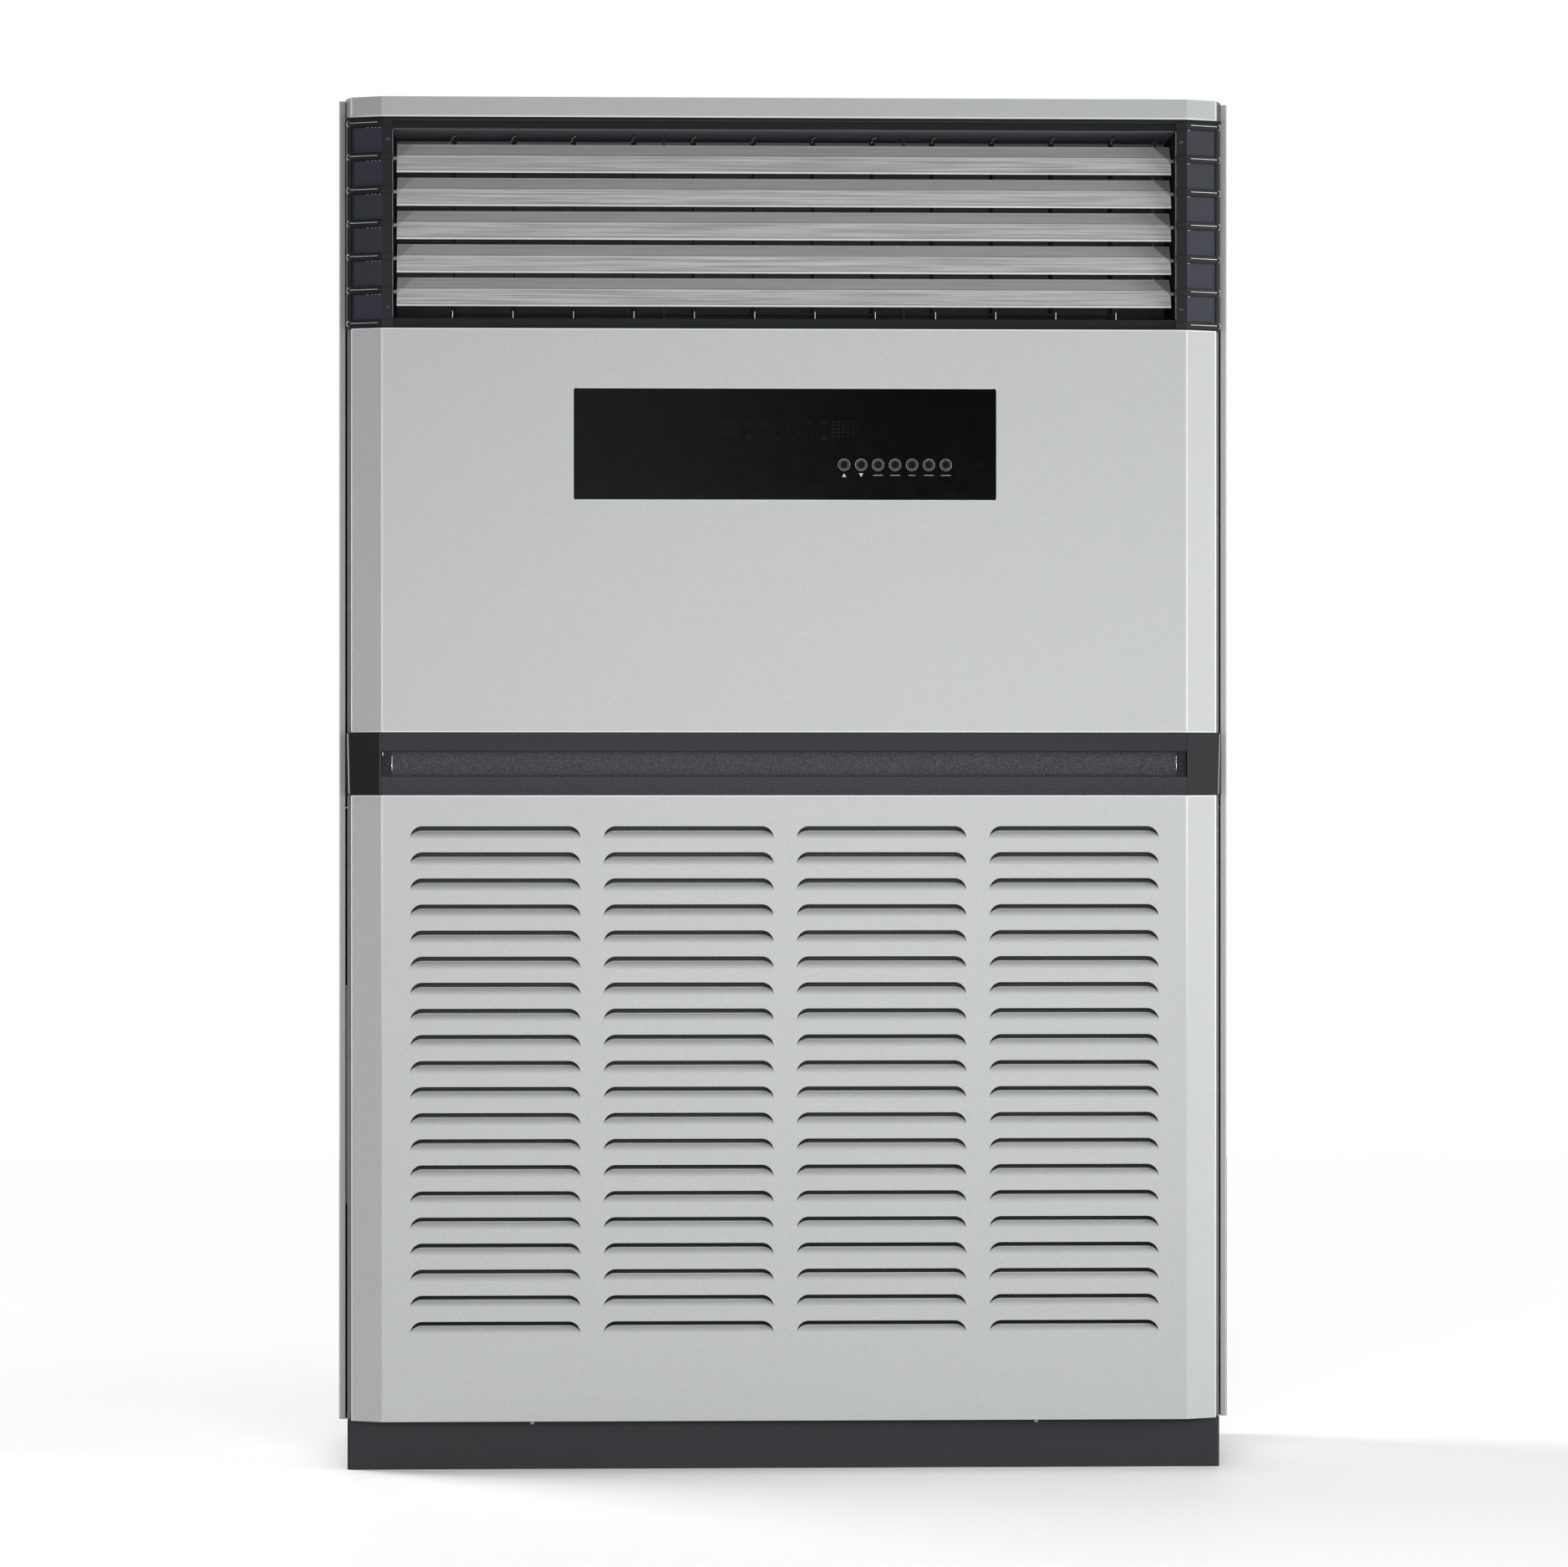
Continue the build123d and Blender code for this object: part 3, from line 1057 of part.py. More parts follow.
# ---- coil tubes: return bends at both ends, the header and its branches ----
header_length = coil_height - HEADER_START - HEADER_RADIUS
header_plane = Plane(origin=header_foot, x_dir=(1, 0, 0), z_dir=(0, sin(coil_lean), cos(coil_lean)))
stub_pitch = header_length / HEADER_STUBS
bend_pitch = (coil_height - 2 * TUBE_START) / (TUBE_BENDS - 1)
with BuildPart() as coil_tubes:
    for side in (-1, 1):
        for bend in range(TUBE_BENDS):
            bend_foot = TUBE_START + bend * bend_pitch
            bend_route = [
                (side * coil_end, bend_foot, HEADER_ROW),
                (side * (coil_end + TUBE_PITCH / 4), bend_foot, HEADER_ROW),
                (side * (coil_end + TUBE_PITCH / 2), bend_foot + TUBE_PITCH / 4, HEADER_ROW),
                (side * (coil_end + TUBE_PITCH / 2), bend_foot + TUBE_PITCH * 3 / 4, HEADER_ROW),
                (side * (coil_end + TUBE_PITCH / 4), bend_foot + TUBE_PITCH, HEADER_ROW),
                (side * coil_end, bend_foot + TUBE_PITCH, HEADER_ROW),
            ]
            with BuildLine() as bend_line:
                Polyline(*[coil_plane.from_local_coords(place) for place in bend_route])
            with BuildSketch(Plane(origin=bend_line.line @ 0, x_dir=coil_plane.y_dir, z_dir=(side, 0, 0))):
                RegularPolygon(TUBE_RADIUS, TUBE_SIDES)
            sweep(path=bend_line.line, transition=Transition.RIGHT)
    with BuildSketch(header_plane):
        Circle(HEADER_RADIUS)
    extrude(amount=header_length)
    with BuildSketch(Plane.XY.offset(header_foot.Z - HEADER_STUB)):
        with Locations((header_foot.X, header_foot.Y)):
            Circle(GAS_RADIUS)
    extrude(amount=HEADER_STUB + HEADER_RADIUS)
    for branch in range(HEADER_STUBS):
        branch_place = (coil_end, HEADER_START + (branch + 0.5) * stub_pitch, -HEADER_ROW)
        branch_start = coil_plane.from_local_coords(branch_place)
        with BuildSketch(Plane(origin=branch_start, x_dir=(0, 1, 0), z_dir=(1, 0, 0))):
            RegularPolygon(TUBE_RADIUS, TUBE_SIDES)
        extrude(amount=header_x - HEADER_RADIUS / 2 - coil_end)
write(coil_tubes, "coil_tubes")

# ---- drain pan under the coil, on three feet, with a spout through the deck ----
pan_low = pan_floor_z - PAN_WALL
with BuildPart() as drain_pan:
    with BuildSketch(Plane.XY.offset(pan_low)):
        with Locations((0, pan_y)):
            Rectangle(pan_width, PAN_DEPTH)
    extrude(amount=PAN_HEIGHT)
    with BuildSketch(Plane.XY.offset(pan_floor_z)):
        with Locations((0, pan_y)):
            Rectangle(pan_width - 2 * PAN_WALL, PAN_DEPTH - 2 * PAN_WALL)
    extrude(amount=PAN_HEIGHT, mode=Mode.SUBTRACT)
    with BuildSketch(Plane.XY.offset(deck_z + DECK_SHEET + SEAT_GAP)):
        with Locations((0, pan_y)):
            with GridLocations(pan_width / 2 - 2 * PAN_FOOT, 0, 3, 1):
                Rectangle(2 * PAN_FOOT, PAN_DEPTH - 2 * PAN_FOOT)
    extrude(amount=PAN_FOOT - SEAT_GAP)
    with BuildSketch(Plane.XY.offset(pan_low)):
        with Locations((spout_x, pan_y)):
            Circle(SPOUT_RADIUS)
    extrude(amount=-SPOUT_LENGTH)
    with BuildSketch(Plane.XY.offset(pan_floor_z)):
        with Locations((spout_x, pan_y)):
            Circle(SPOUT_BORE)
    extrude(amount=-SPOUT_LENGTH - 2 * PAN_WALL, mode=Mode.SUBTRACT)
write(drain_pan, "drain_pan")

# ---- refrigerant pipes from the coil down to the port, with round service ends for the couplings ----
pipe_end_y = REAR_SHEET_Y - PIPE_END_GAP
gas_start = Vector(header_foot.X, header_foot.Y, header_foot.Z - HEADER_STUB - SEAT_GAP)
gas_corners = [
    gas_start,
    Vector(gas_start.X, gas_start.Y, GAS_Z + PIPE_BEND),
    Vector(gas_start.X, gas_start.Y + PIPE_BEND, GAS_Z),
    Vector(gas_start.X, pipe_end_y, GAS_Z),
]
liquid_corners = [
    liquid_start,
    Vector(liquid_x - LIQUID_BEND, liquid_start.Y, liquid_start.Z),
    Vector(liquid_x, liquid_start.Y, liquid_start.Z - LIQUID_BEND),
    Vector(liquid_x, liquid_start.Y, LIQUID_Z + LIQUID_BEND),
    Vector(liquid_x, liquid_start.Y + LIQUID_BEND, LIQUID_Z),
    Vector(liquid_x, pipe_end_y, LIQUID_Z),
]
with BuildPart() as refrigerant_pipes:
    for corners, radius in ((gas_corners, GAS_RADIUS), (liquid_corners, LIQUID_RADIUS)):
        start_plane = Plane(origin=corners[0], x_dir=(0, 1, 0), z_dir=corners[1] - corners[0])
        with BuildLine() as route:
            Polyline(*corners)
        for inset, mode in ((0, Mode.ADD), (PIPE_WALL, Mode.SUBTRACT)):
            with BuildSketch(start_plane):
                RegularPolygon(radius - PIPE_WALL / 2 - inset, TUBE_SIDES)
            sweep(path=route.line, transition=Transition.RIGHT, mode=mode)
            with BuildSketch(Plane.XZ.offset(-corners[-1].Y)):
                with Locations((corners[-1].X, corners[-1].Z)):
                    Circle(radius - inset)
            extrude(amount=PIPE_SERVICE, mode=mode)
write(refrigerant_pipes, "refrigerant_pipes")

# ---- air filters: two framed pads side by side, resting on the posts behind the intake panel ----
filter_face = SIDE_Y - SHEET - SEAT_GAP - FILTER_THICKNESS
filter_height = INTAKE_HEIGHT - 2 * FILTER_END_GAP
filter_width = HALF_POST - FILTER_INSET - FILTER_SIDE_GAP / 2
filter_x = (filter_width + FILTER_SIDE_GAP) / 2
filter_places = [(-filter_x, BASE_HEIGHT + INTAKE_HEIGHT / 2), (filter_x, BASE_HEIGHT + INTAKE_HEIGHT / 2)]
filter_cell = (filter_height - (FILTER_BARS + 1) * FILTER_BORDER) / FILTER_BARS
with BuildPart() as air_filters:
    with BuildSketch(Plane.XZ.offset(-filter_face)):
        with Locations(*filter_places):
            Rectangle(filter_width, filter_height)
            with GridLocations(0, filter_cell + FILTER_BORDER, 1, FILTER_BARS):
                Rectangle(filter_width - 2 * FILTER_BORDER, filter_cell, mode=Mode.SUBTRACT)
    extrude(amount=-FILTER_THICKNESS)
    with BuildSketch(Plane.XZ.offset(-filter_face - FILTER_THICKNESS / 2)):
        with Locations(*filter_places):
            Rectangle(filter_width - FILTER_BORDER, filter_height - FILTER_BORDER)
    extrude(amount=-FILTER_PAD)
write(air_filters, "air_filters")

# ---- control box on the left side panel, with an overlapping lid ----
box_x = -(WIDTH / 2 - SHEET - SEAT_GAP - BOX_WIDTH / 2)
with BuildPart() as control_box:
    with Locations((box_x, BOX_Y, BOX_Z)):
        Box(BOX_WIDTH, BOX_DEPTH, BOX_HEIGHT)
        Box(
            BOX_WIDTH - 2 * BOX_SHEET,
            BOX_DEPTH - 2 * BOX_SHEET,
            BOX_HEIGHT - 2 * BOX_SHEET,
            mode=Mode.SUBTRACT,
        )
    with Locations((box_x + (BOX_WIDTH - BOX_LID) / 2, BOX_Y, BOX_Z)):
        Box(BOX_LID, BOX_DEPTH + 2 * BOX_LID, BOX_HEIGHT + 2 * BOX_LID)
write(control_box, "control_box")

# ---- screw heads, seated on the faces that they hold ----
screw_x = OUTLET_HALF_WIDTH + OUTLET_SIDE_STRIP / 2
outlet_screw_levels = (DUCT_FLOOR_Z + OUTLET_SCREW_INSET, DUCT_CEILING_Z - OUTLET_SCREW_INSET)
rear_screw_x = WIDTH / 2 - REAR_SCREW_EDGE
rear_screw_pitch = (side_high - side_low - 2 * REAR_SCREW_INSET) / (REAR_SCREWS - 1)
pocket_face = strip_floor + STRIP_POCKET_DEPTH - STRIP_WALL
with BuildPart() as panel_screws:
    with BuildSketch(Plane.XZ.offset(-(FRONT_Y + BASE_SETBACK))):
        with GridLocations(BASE_WIDTH - 2 * PLINTH_SCREW_INSET, 0, 2, 1):
            with Locations((0, BASE_HEIGHT - PLINTH_SCREW_DROP)):
                RegularPolygon(SCREW_RADIUS, PIN_SIDES)
    extrude(amount=SCREW_HEAD)
    with BuildSketch(Plane.XZ.offset(-pocket_face)):
        with GridLocations(2 * strip_ends, 0, 2, 1):
            with Locations((0, channel_mid)):
                RegularPolygon(SCREW_RADIUS, PIN_SIDES)
    extrude(amount=SCREW_HEAD)
    with BuildSketch(Plane.XZ.offset(-corner_face)):
        with Locations(*[(place, level) for place in (-screw_x, screw_x) for level in outlet_screw_levels]):
            RegularPolygon(SCREW_RADIUS, PIN_SIDES)
    extrude(amount=SCREW_HEAD)
    with BuildSketch(Plane.XZ.offset(-REAR_Y + SCREW_HEAD)):
        with Locations((0, (side_low + side_high) / 2)):
            with GridLocations(2 * rear_screw_x, rear_screw_pitch, 2, REAR_SCREWS):
                RegularPolygon(SCREW_RADIUS, PIN_SIDES)
    extrude(amount=-SCREW_HEAD)
write(panel_screws, "panel_screws")
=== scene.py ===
"""Floor standing air conditioner: looks for the CAD frame of the cabinet, its outlet and its parts.

Sizes are in millimetres in the CAD frame until a mesh is made: +Z up, the front faces -Y, and the
origin lies at floor level in the middle of the cabinet. Colours are sRGB hex codes.
"""

import json
import logging
import math
from dataclasses import dataclass, field
from enum import Enum
from typing import Dict, List, Sequence, Tuple, Union

import bmesh
import bpy
from mathutils import Euler, Matrix, Vector

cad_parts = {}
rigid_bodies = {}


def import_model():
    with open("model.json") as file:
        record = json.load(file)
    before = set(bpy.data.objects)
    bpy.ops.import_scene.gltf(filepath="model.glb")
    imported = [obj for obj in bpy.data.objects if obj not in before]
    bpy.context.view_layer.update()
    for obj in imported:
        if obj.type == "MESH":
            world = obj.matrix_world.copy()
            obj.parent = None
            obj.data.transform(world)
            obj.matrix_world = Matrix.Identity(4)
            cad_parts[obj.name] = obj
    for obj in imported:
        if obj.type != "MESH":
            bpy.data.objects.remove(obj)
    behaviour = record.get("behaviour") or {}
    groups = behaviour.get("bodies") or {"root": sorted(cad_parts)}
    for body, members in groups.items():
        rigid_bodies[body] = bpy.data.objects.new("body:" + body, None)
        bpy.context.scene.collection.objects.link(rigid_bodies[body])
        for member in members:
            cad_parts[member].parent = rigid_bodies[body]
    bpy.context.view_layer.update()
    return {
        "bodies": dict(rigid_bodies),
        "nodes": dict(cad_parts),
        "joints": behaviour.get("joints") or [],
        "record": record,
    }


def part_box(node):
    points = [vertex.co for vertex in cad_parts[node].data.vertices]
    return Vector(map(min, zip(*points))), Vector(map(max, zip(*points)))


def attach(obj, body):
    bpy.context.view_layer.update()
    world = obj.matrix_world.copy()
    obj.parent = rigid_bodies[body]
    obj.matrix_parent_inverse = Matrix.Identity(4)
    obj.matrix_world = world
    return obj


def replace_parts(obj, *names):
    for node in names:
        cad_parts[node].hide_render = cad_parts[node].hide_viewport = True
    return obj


log = logging.getLogger("air_conditioner")

MM = 0.001

# Plain groups of numbers, and those with a meaning: a place in space and on a plane, a ramp (start, end
# and the values at them), an upright bar (x, y, foot and top) and a linear colour.
Pair = Tuple[float, float]
Triple = Tuple[float, float, float]
Quad = Tuple[float, float, float, float]
Point = Triple
Flat = Pair
Ramp = Quad
Post = Quad
Colour = Quad
Socket = bpy.types.NodeSocket
Material = bpy.types.Material
Piece = bpy.types.Object
Vertex = bmesh.types.BMVert

# Levels and widths of the cabinet's front, in mm. The margin is what the bevelled sides take of the flat
# middle, and the probe is where a corner's facet is asked for its direction.
FRONT_Y = -210.0
BEVEL_DEPTH = 18.0
HALF_FRONT = 585.0
HALF_FLAT = 543.0
FLAT_MARGIN = 20.0
RETURN_Y = -166.5
SHEET = 1.2
PIVOT_TOP_Z = 1769.75
ROW_PITCH = 45.0
VANES = 5
OUTLET_MID_Z = 1679.75
OUTLET_FACE_Y = -204.8
FACET_PROBE = 18.0
WINDOW_FACE_Y = -209.5
WINDOW_Z = 1383.0
WINDOW_HALF = (285.0, 75.5)
WINDOW_CORNER = 3.5
BUTTON_Z = 1355.5
BUTTON_X = 79.5
BUTTON_PITCH = 22.9
BUTTONS = 7

SIDES = (-1, 1)
# Colour of the painted highlights on the sheets' folds, cut edges and louvre lips.
PAINTED_HIGHLIGHT = "F6F8F7"
PRINT_INK = "D8DAD6"

# Angles in degrees under which edges are shaded smooth: on plates, on screw heads and on round bars.
FLAT_SMOOTH = 35.0
HEAD_SMOOTH = 50.0
ROUND_SMOOTH = 60.0

# Shape of bars and plates: how steep counts as upright, angles of a dome's rings, the shoulder of a
# printed ring against its height, a chamfer's length along a corner's diagonal against its width, and
# the sides of the finest bars.
STEEP = 0.9
DOME = (math.radians(60), math.radians(30))
SHOULDER = 0.7
DIAGONAL = 1.4
FINE_SIDES = 6


def linear(hex_code: str) -> Colour:
    """Turn an sRGB colour to linear.

    Args:
        hex_code: its six hex digits.

    Returns:
        Linear red, green and blue, and an alpha of 1.
    """
    parts = [int(hex_code[start : start + 2], 16) / 255 for start in (0, 2, 4)]
    flat = [part / 12.92 if part <= 0.04045 else ((part + 0.055) / 1.055) ** 2.4 for part in parts]
    return (flat[0], flat[1], flat[2], 1.0)


def circle(sides: int) -> List[float]:
    """Angles of a ring's points, in radians."""
    return [2 * math.pi * step / sides for step in range(sides)]


def oblong(half_x: float, half_z: float) -> List[Flat]:
    """Outline of a rectangle round the origin, anticlockwise."""
    return [(-half_x, -half_z), (half_x, -half_z), (half_x, half_z), (-half_x, half_z)]


def look_at(place: Point, target: Point) -> Euler:
    """Rotation that turns a lamp's or a camera's view from a place to a target."""
    return (Vector(target) - Vector(place)).to_track_quat("-Z", "Y").to_euler()


def put(name: str, data: bpy.types.ID) -> Piece:
    """Make an object of a mesh, curve, light or camera and link it to the scene.

    Args:
        name: object name.
        data: what it shows.

    Returns:
        The new object.
    """
    obj = bpy.data.objects.new(name, data)
    bpy.context.scene.collection.objects.link(obj)
    return obj


class Body(Enum):
    """CAD bodies that the drawn pieces ride on."""

    CABINET = "cabinet"


class Facing(Enum):
    """Ways that a screw's head can face, as the sign of Y."""

    FRONT = -1
    REAR = 1


class Lie(Enum):
    """Ways that a digit's segment can lie, as the place of its length among the segments' sizes."""

    FLAT = 0
    UPRIGHT = 1


class Shader:
    """Builder of one material's or world's node tree."""

    def __init__(self, owner: Union[Material, bpy.types.World], output: str) -> None:
        """Clear the owner's tree and give it its output node.

        Args:
            owner: the new material or world.
            output: type of its output node.
        """
        owner.use_nodes = True
        self.owner = owner
        self.tree = owner.node_tree
        self.tree.nodes.clear()
        self.output = self.tree.nodes.new(output)

    def add(self, kind: str, *values: object, out: str = "", **named: object) -> Socket:
        """Add a node with its settings and links.

        Args:
            kind: its type, with the operation or data type after a colon where it isn't the usual one.
            values: what the inputs in use get, in their order: a value to set or an output to link.
            out: name of the output that is wanted; without it, the first one in use.
            named: the same for inputs by name, with underscores for spaces, and settings of the node
                itself, whose names have no capital letter.

        Returns:
            The wanted output.
        """
        kind, _, choice = kind.partition(":")
        node = self.tree.nodes.new("ShaderNode" + kind)
        if choice:
            setattr(node, "operation" if hasattr(node, "operation") else "data_type", choice)
        given = list(zip([socket for socket in node.inputs if socket.enabled], values))
        for key, value in named.items():
            if key.islower():
                setattr(node, key, value)
            else:
                given.append((node.inputs[key.replace("_", " ")], value))
        for socket, value in given:
            if isinstance(value, Socket):
                self.tree.links.new(value, socket)
            else:
                socket.default_value = value
        return node.outputs[out] if out else next(socket for socket in node.outputs if socket.enabled)

    def axis(self, letter: str) -> Socket:
        """One of the object's own coordinates, in mm."""
        place = self.add("TexCoord", out="Object")
        return self.add("Math:DIVIDE", self.add("SeparateXYZ", place, out=letter), MM)

    def facing(self, letter: str, limit: float) -> Socket:
        """1 on faces whose normal is under a limit along an axis, else 0."""
        normal = self.add("NewGeometry", out="Normal")
        return self.add("Math:LESS_THAN", self.add("SeparateXYZ", normal, out=letter), limit)

    def band(self, value: Socket, centre: float, half: float, soft: float) -> Socket:
        """Draw a band with soft edges.

        Args:
            value: what runs across the band.
            centre: the value in its middle.
            half: half its full width.
            soft: width of each edge, over which it ends.

        Returns:
            1 in the band, 0 outside it.
        """
        away = self.add("Math:ABSOLUTE", self.add("Math:SUBTRACT", value, centre))
        return self.add("MapRange", away, half, half + soft, 1.0, 0.0)

    def over(self, paint: Socket, hex_code: str, *shares: object) -> Socket:
        """Lay a colour over the paint.

        Args:
            paint: colour underneath.
            hex_code: colour laid over it.
            shares: values or outputs whose product says how much of it shows.

        Returns:
            The mixed colour.
        """
        share = shares[0]
        for factor in shares[1:]:
            share = self.add("Math:MULTIPLY", share, factor)
        return self.add("Mix:RGBA", share, paint, linear(hex_code))

    def finish(self, surface: Socket) -> Union[Material, bpy.types.World]:
        """Link the surface to the output and return the owner."""
        self.tree.links.new(surface, self.output.inputs["Surface"])
        return self.owner


@dataclass(frozen=True)
class Finish:
    """A surface with two mixed tones, a fine grain and a bump.

    Args:
        name: material name.
        light: colour of the lighter tone.
        dark: colour of the darker tone.
        roughness: middle of the roughness.
        grain: size of the grain in mm.
        contrast: how far the grain goes from one tone to the other.
        bump: height of the grain in mm.
        metallic: 1 for bare metal.
        ior: index of refraction of a non-metal.
        stretch: grain length along X, Y and Z against its size.
        specular: specular level of a non-metal, 0.5 as its IOR gives.
        spread: noise on each side of its middle that reaches the full tones; less is harder.
        uneven: how far the grain takes the roughness to each side.
        smoothest: least roughness that the grain may reach.
    """

    name: str
    light: str
    dark: str
    roughness: float
    grain: float
    contrast: float = 0.5
    bump: float = 0.02
    metallic: float = 0.0
    ior: float = 1.5
    stretch: Point = (1.0, 1.0, 1.0)
    specular: float = 0.5
    spread: float = 0.2
    uneven: float = 0.05
    smoothest: float = 0.02

    def grain_value(self, shader: Shader) -> Socket:
        """Draw the grain from noise.

        Args:
            shader: builder of the material.

        Returns:
            The grain, on both sides of 0.5.
        """
        scale = tuple(1 / (self.grain * MM * part) for part in self.stretch)
        place = shader.add("Mapping", shader.add("TexCoord", out="Object"), Scale=scale)
        noise = shader.add("TexNoise", Vector=place, Scale=1.0, Detail=3.0, Roughness=0.6)
        half = 0.5 - 0.5 * self.contrast
        return shader.add("MapRange", noise, 0.5 - self.spread, 0.5 + self.spread, half, 1 - half)

    def tone(self, shader: Shader, grain: Socket) -> Socket:
        """Colour of the surface: the grain between the two tones."""
        return shader.add("Mix:RGBA", grain, linear(self.dark), linear(self.light))

    def build(self) -> Material:
        """Make the material.

        Returns:
            The material.
        """
        shader = Shader(bpy.data.materials.new(self.name), "ShaderNodeOutputMaterial")
        grain = self.grain_value(shader)
        low, high = max(self.smoothest, self.roughness - self.uneven), self.roughness + self.uneven
        rough = shader.add("MapRange", grain, 0.0, 1.0, low, high)
        bump = shader.add("Bump", Strength=0.6, Distance=self.bump * MM, Height=grain)
        surface = shader.add(
            "BsdfPrincipled",
            Base_Color=self.tone(shader, grain),
            Roughness=rough,
            Metallic=self.metallic,
            IOR=self.ior,
            Specular_IOR_Level=self.specular,
            Normal=bump,
        )
        return shader.finish(surface)


@dataclass(frozen=True)
class PowderCoat(Finish):
    """The cabinet's powder coat: a satin grey with a fine orange peel."""

    light: str = "CED2D1"
    dark: str = "BFC3C2"
    roughness: float = 0.42
    grain: float = 1.8
    contrast: float = 0.8
    specular: float = 0.35


@dataclass(frozen=True)
class FoldedPaint(PowderCoat):
    """Powder coat with painted highlights as bright lines over the sheet's folds and cut edges on the front,
    and painted shade in the slit past the outer fold.

    Args:
        folds: distances of the folds from the middle plane.
        cuts: levels of the cut edges.
        line: half the width of a line.
        soft: width over which a line on a fold and on a cut ends.
        fade: levels between which the inner fold's painted highlight grows to full strength, upwards.
        reach: how far behind the bevel the lines are drawn.
        shine: strength of the painted highlights.
        beyond: distance past the outer fold from which painted shade stands for the slit's shade.
        forward: limit of the normal's Y under which a face looks forward.
        shade: colour of that painted shade.
        gloom: strength of that painted shade, and of the painted highlight on the lips of a louvred sheet.
    """

    folds: Tuple[float, ...] = (HALF_FLAT, HALF_FRONT - 0.6)
    cuts: Tuple[float, ...] = (909.0, 994.9, 1538.0, 1824.0)
    line: float = 0.9
    soft: Pair = (0.6, 0.4)
    fade: Pair = (560.0, 860.0)
    reach: float = 3.0
    shine: float = 0.8
    beyond: float = 0.6
    forward: float = -0.3
    shade: str = "1C1C1D"
    gloom: float = 0.85

    def tone(self, shader: Shader, grain: Socket) -> Socket:
        """Mix the painted highlights and the painted shade of the slit into the paint.

        Args:
            shader: builder of the material.
            grain: its grain.

        Returns:
            Colour of the surface.
        """
        paint = super().tone(shader, grain)
        across = shader.add("Math:ABSOLUTE", shader.axis("X"))
        level = shader.axis("Z")
        lines = [shader.band(across, place, self.line, self.soft[0]) for place in self.folds]
        lines[0] = shader.add("Math:MULTIPLY", lines[0], shader.add("MapRange", level, *self.fade))
        lines += [shader.band(level, place, self.line, self.soft[1]) for place in self.cuts]
        bright = lines[0]
        for line in lines[1:]:
            bright = shader.add("Math:MAXIMUM", bright, line)
        front = shader.add("Math:LESS_THAN", shader.axis("Y"), FRONT_Y + BEVEL_DEPTH + self.reach)
        # Painted highlights along the folds and cut edges.
        lined = shader.over(paint, PAINTED_HIGHLIGHT, bright, front, self.shine)
        # Painted shade in the slit beside the front sheet.
        slit = shader.add("Math:GREATER_THAN", across, HALF_FRONT + self.beyond)
        return shader.over(lined, self.shade, shader.facing("Y", self.forward), slit, self.gloom)


@dataclass(frozen=True)
class LouvrePaint(FoldedPaint):
    """Powder coat of the louvred sheet, with a painted highlight along the lips of the pressed tongues.

    Args:
        lip_depth: depth behind the front from which a tongue's lip takes the painted highlight.
    """

    lip_depth: float = 7.2

    def tone(self, shader: Shader, grain: Socket) -> Socket:
        """Mix the painted highlight of the tongues' lips into the folded paint.

        Args:
            shader: builder of the material.
            grain: its grain.

        Returns:
            Colour of the surface.
        """
        paint = super().tone(shader, grain)
        deep = shader.add("Math:GREATER_THAN", shader.axis("Y"), FRONT_Y + self.lip_depth)
        across = shader.add("Math:ABSOLUTE", shader.axis("X"))
        flat = shader.add("Math:LESS_THAN", across, HALF_FLAT - FLAT_MARGIN)
        return shader.over(paint, PAINTED_HIGHLIGHT, deep, flat, self.gloom)


@dataclass(frozen=True)
class SidePaint(PowderCoat):
    """Powder coat of the side panels, with painted shade on the flanges that face forward.

    Args:
        inner: distance from the middle plane at which the dimming starts.
        outer: distance from which the outer fold stays bright.
        forward: limit of the normal's Y under which a face looks forward.
        shade: colour of the painted shade on the flanges.
        gloom: strength of that painted shade.
    """

    inner: float = 583.0
    outer: float = 600.4
    forward: float = -0.7
    shade: str = "1C1C1B"
    gloom: float = 0.36

    def tone(self, shader: Shader, grain: Socket) -> Socket:
        """Paint shade where it faces forward beside the front sheets.

        Args:
            shader: builder of the material.
            grain: its grain.

        Returns:
            Colour of the surface.
        """
        paint = super().tone(shader, grain)
        across = shader.add("Math:ABSOLUTE", shader.axis("X"))
        flange = shader.add("Math:GREATER_THAN", across, self.inner)
        fold = shader.add("Math:LESS_THAN", across, self.outer)
        forward = shader.facing("Y", self.forward)
        return shader.over(paint, self.shade, forward, flange, fold, self.gloom)


@dataclass(frozen=True)
class InnerShadePaint(PowderCoat):
    """Powder coat of the rear panel, with painted shade on its inner face, inside the cabinet.

    Args:
        forward: limit of the normal's Y under which a face looks forward into the cabinet.
        foam: colour of that painted shade.
    """

    forward: float = -0.5
    foam: str = "727477"

    def tone(self, shader: Shader, grain: Socket) -> Socket:
        """Paint outside, with painted shade inside."""
        return shader.over(super().tone(shader, grain), self.foam, shader.facing("Y", self.forward))


@dataclass(frozen=True)
class DuctFinish(Finish):
    """Matt plastic, with painted light on the faces that look down, for the bounced light that reaches them.

    Args:
        down: limit of the normal's Z under which a face looks down.
        pale: colour of that painted light.
    """

    down: float = -0.5
    pale: str = "5A5B60"

    def tone(self, shader: Shader, grain: Socket) -> Socket:
        """Grained plastic with the painted light on the ceiling mixed in."""
        return shader.over(super().tone(shader, grain), self.pale, shader.facing("Z", self.down))


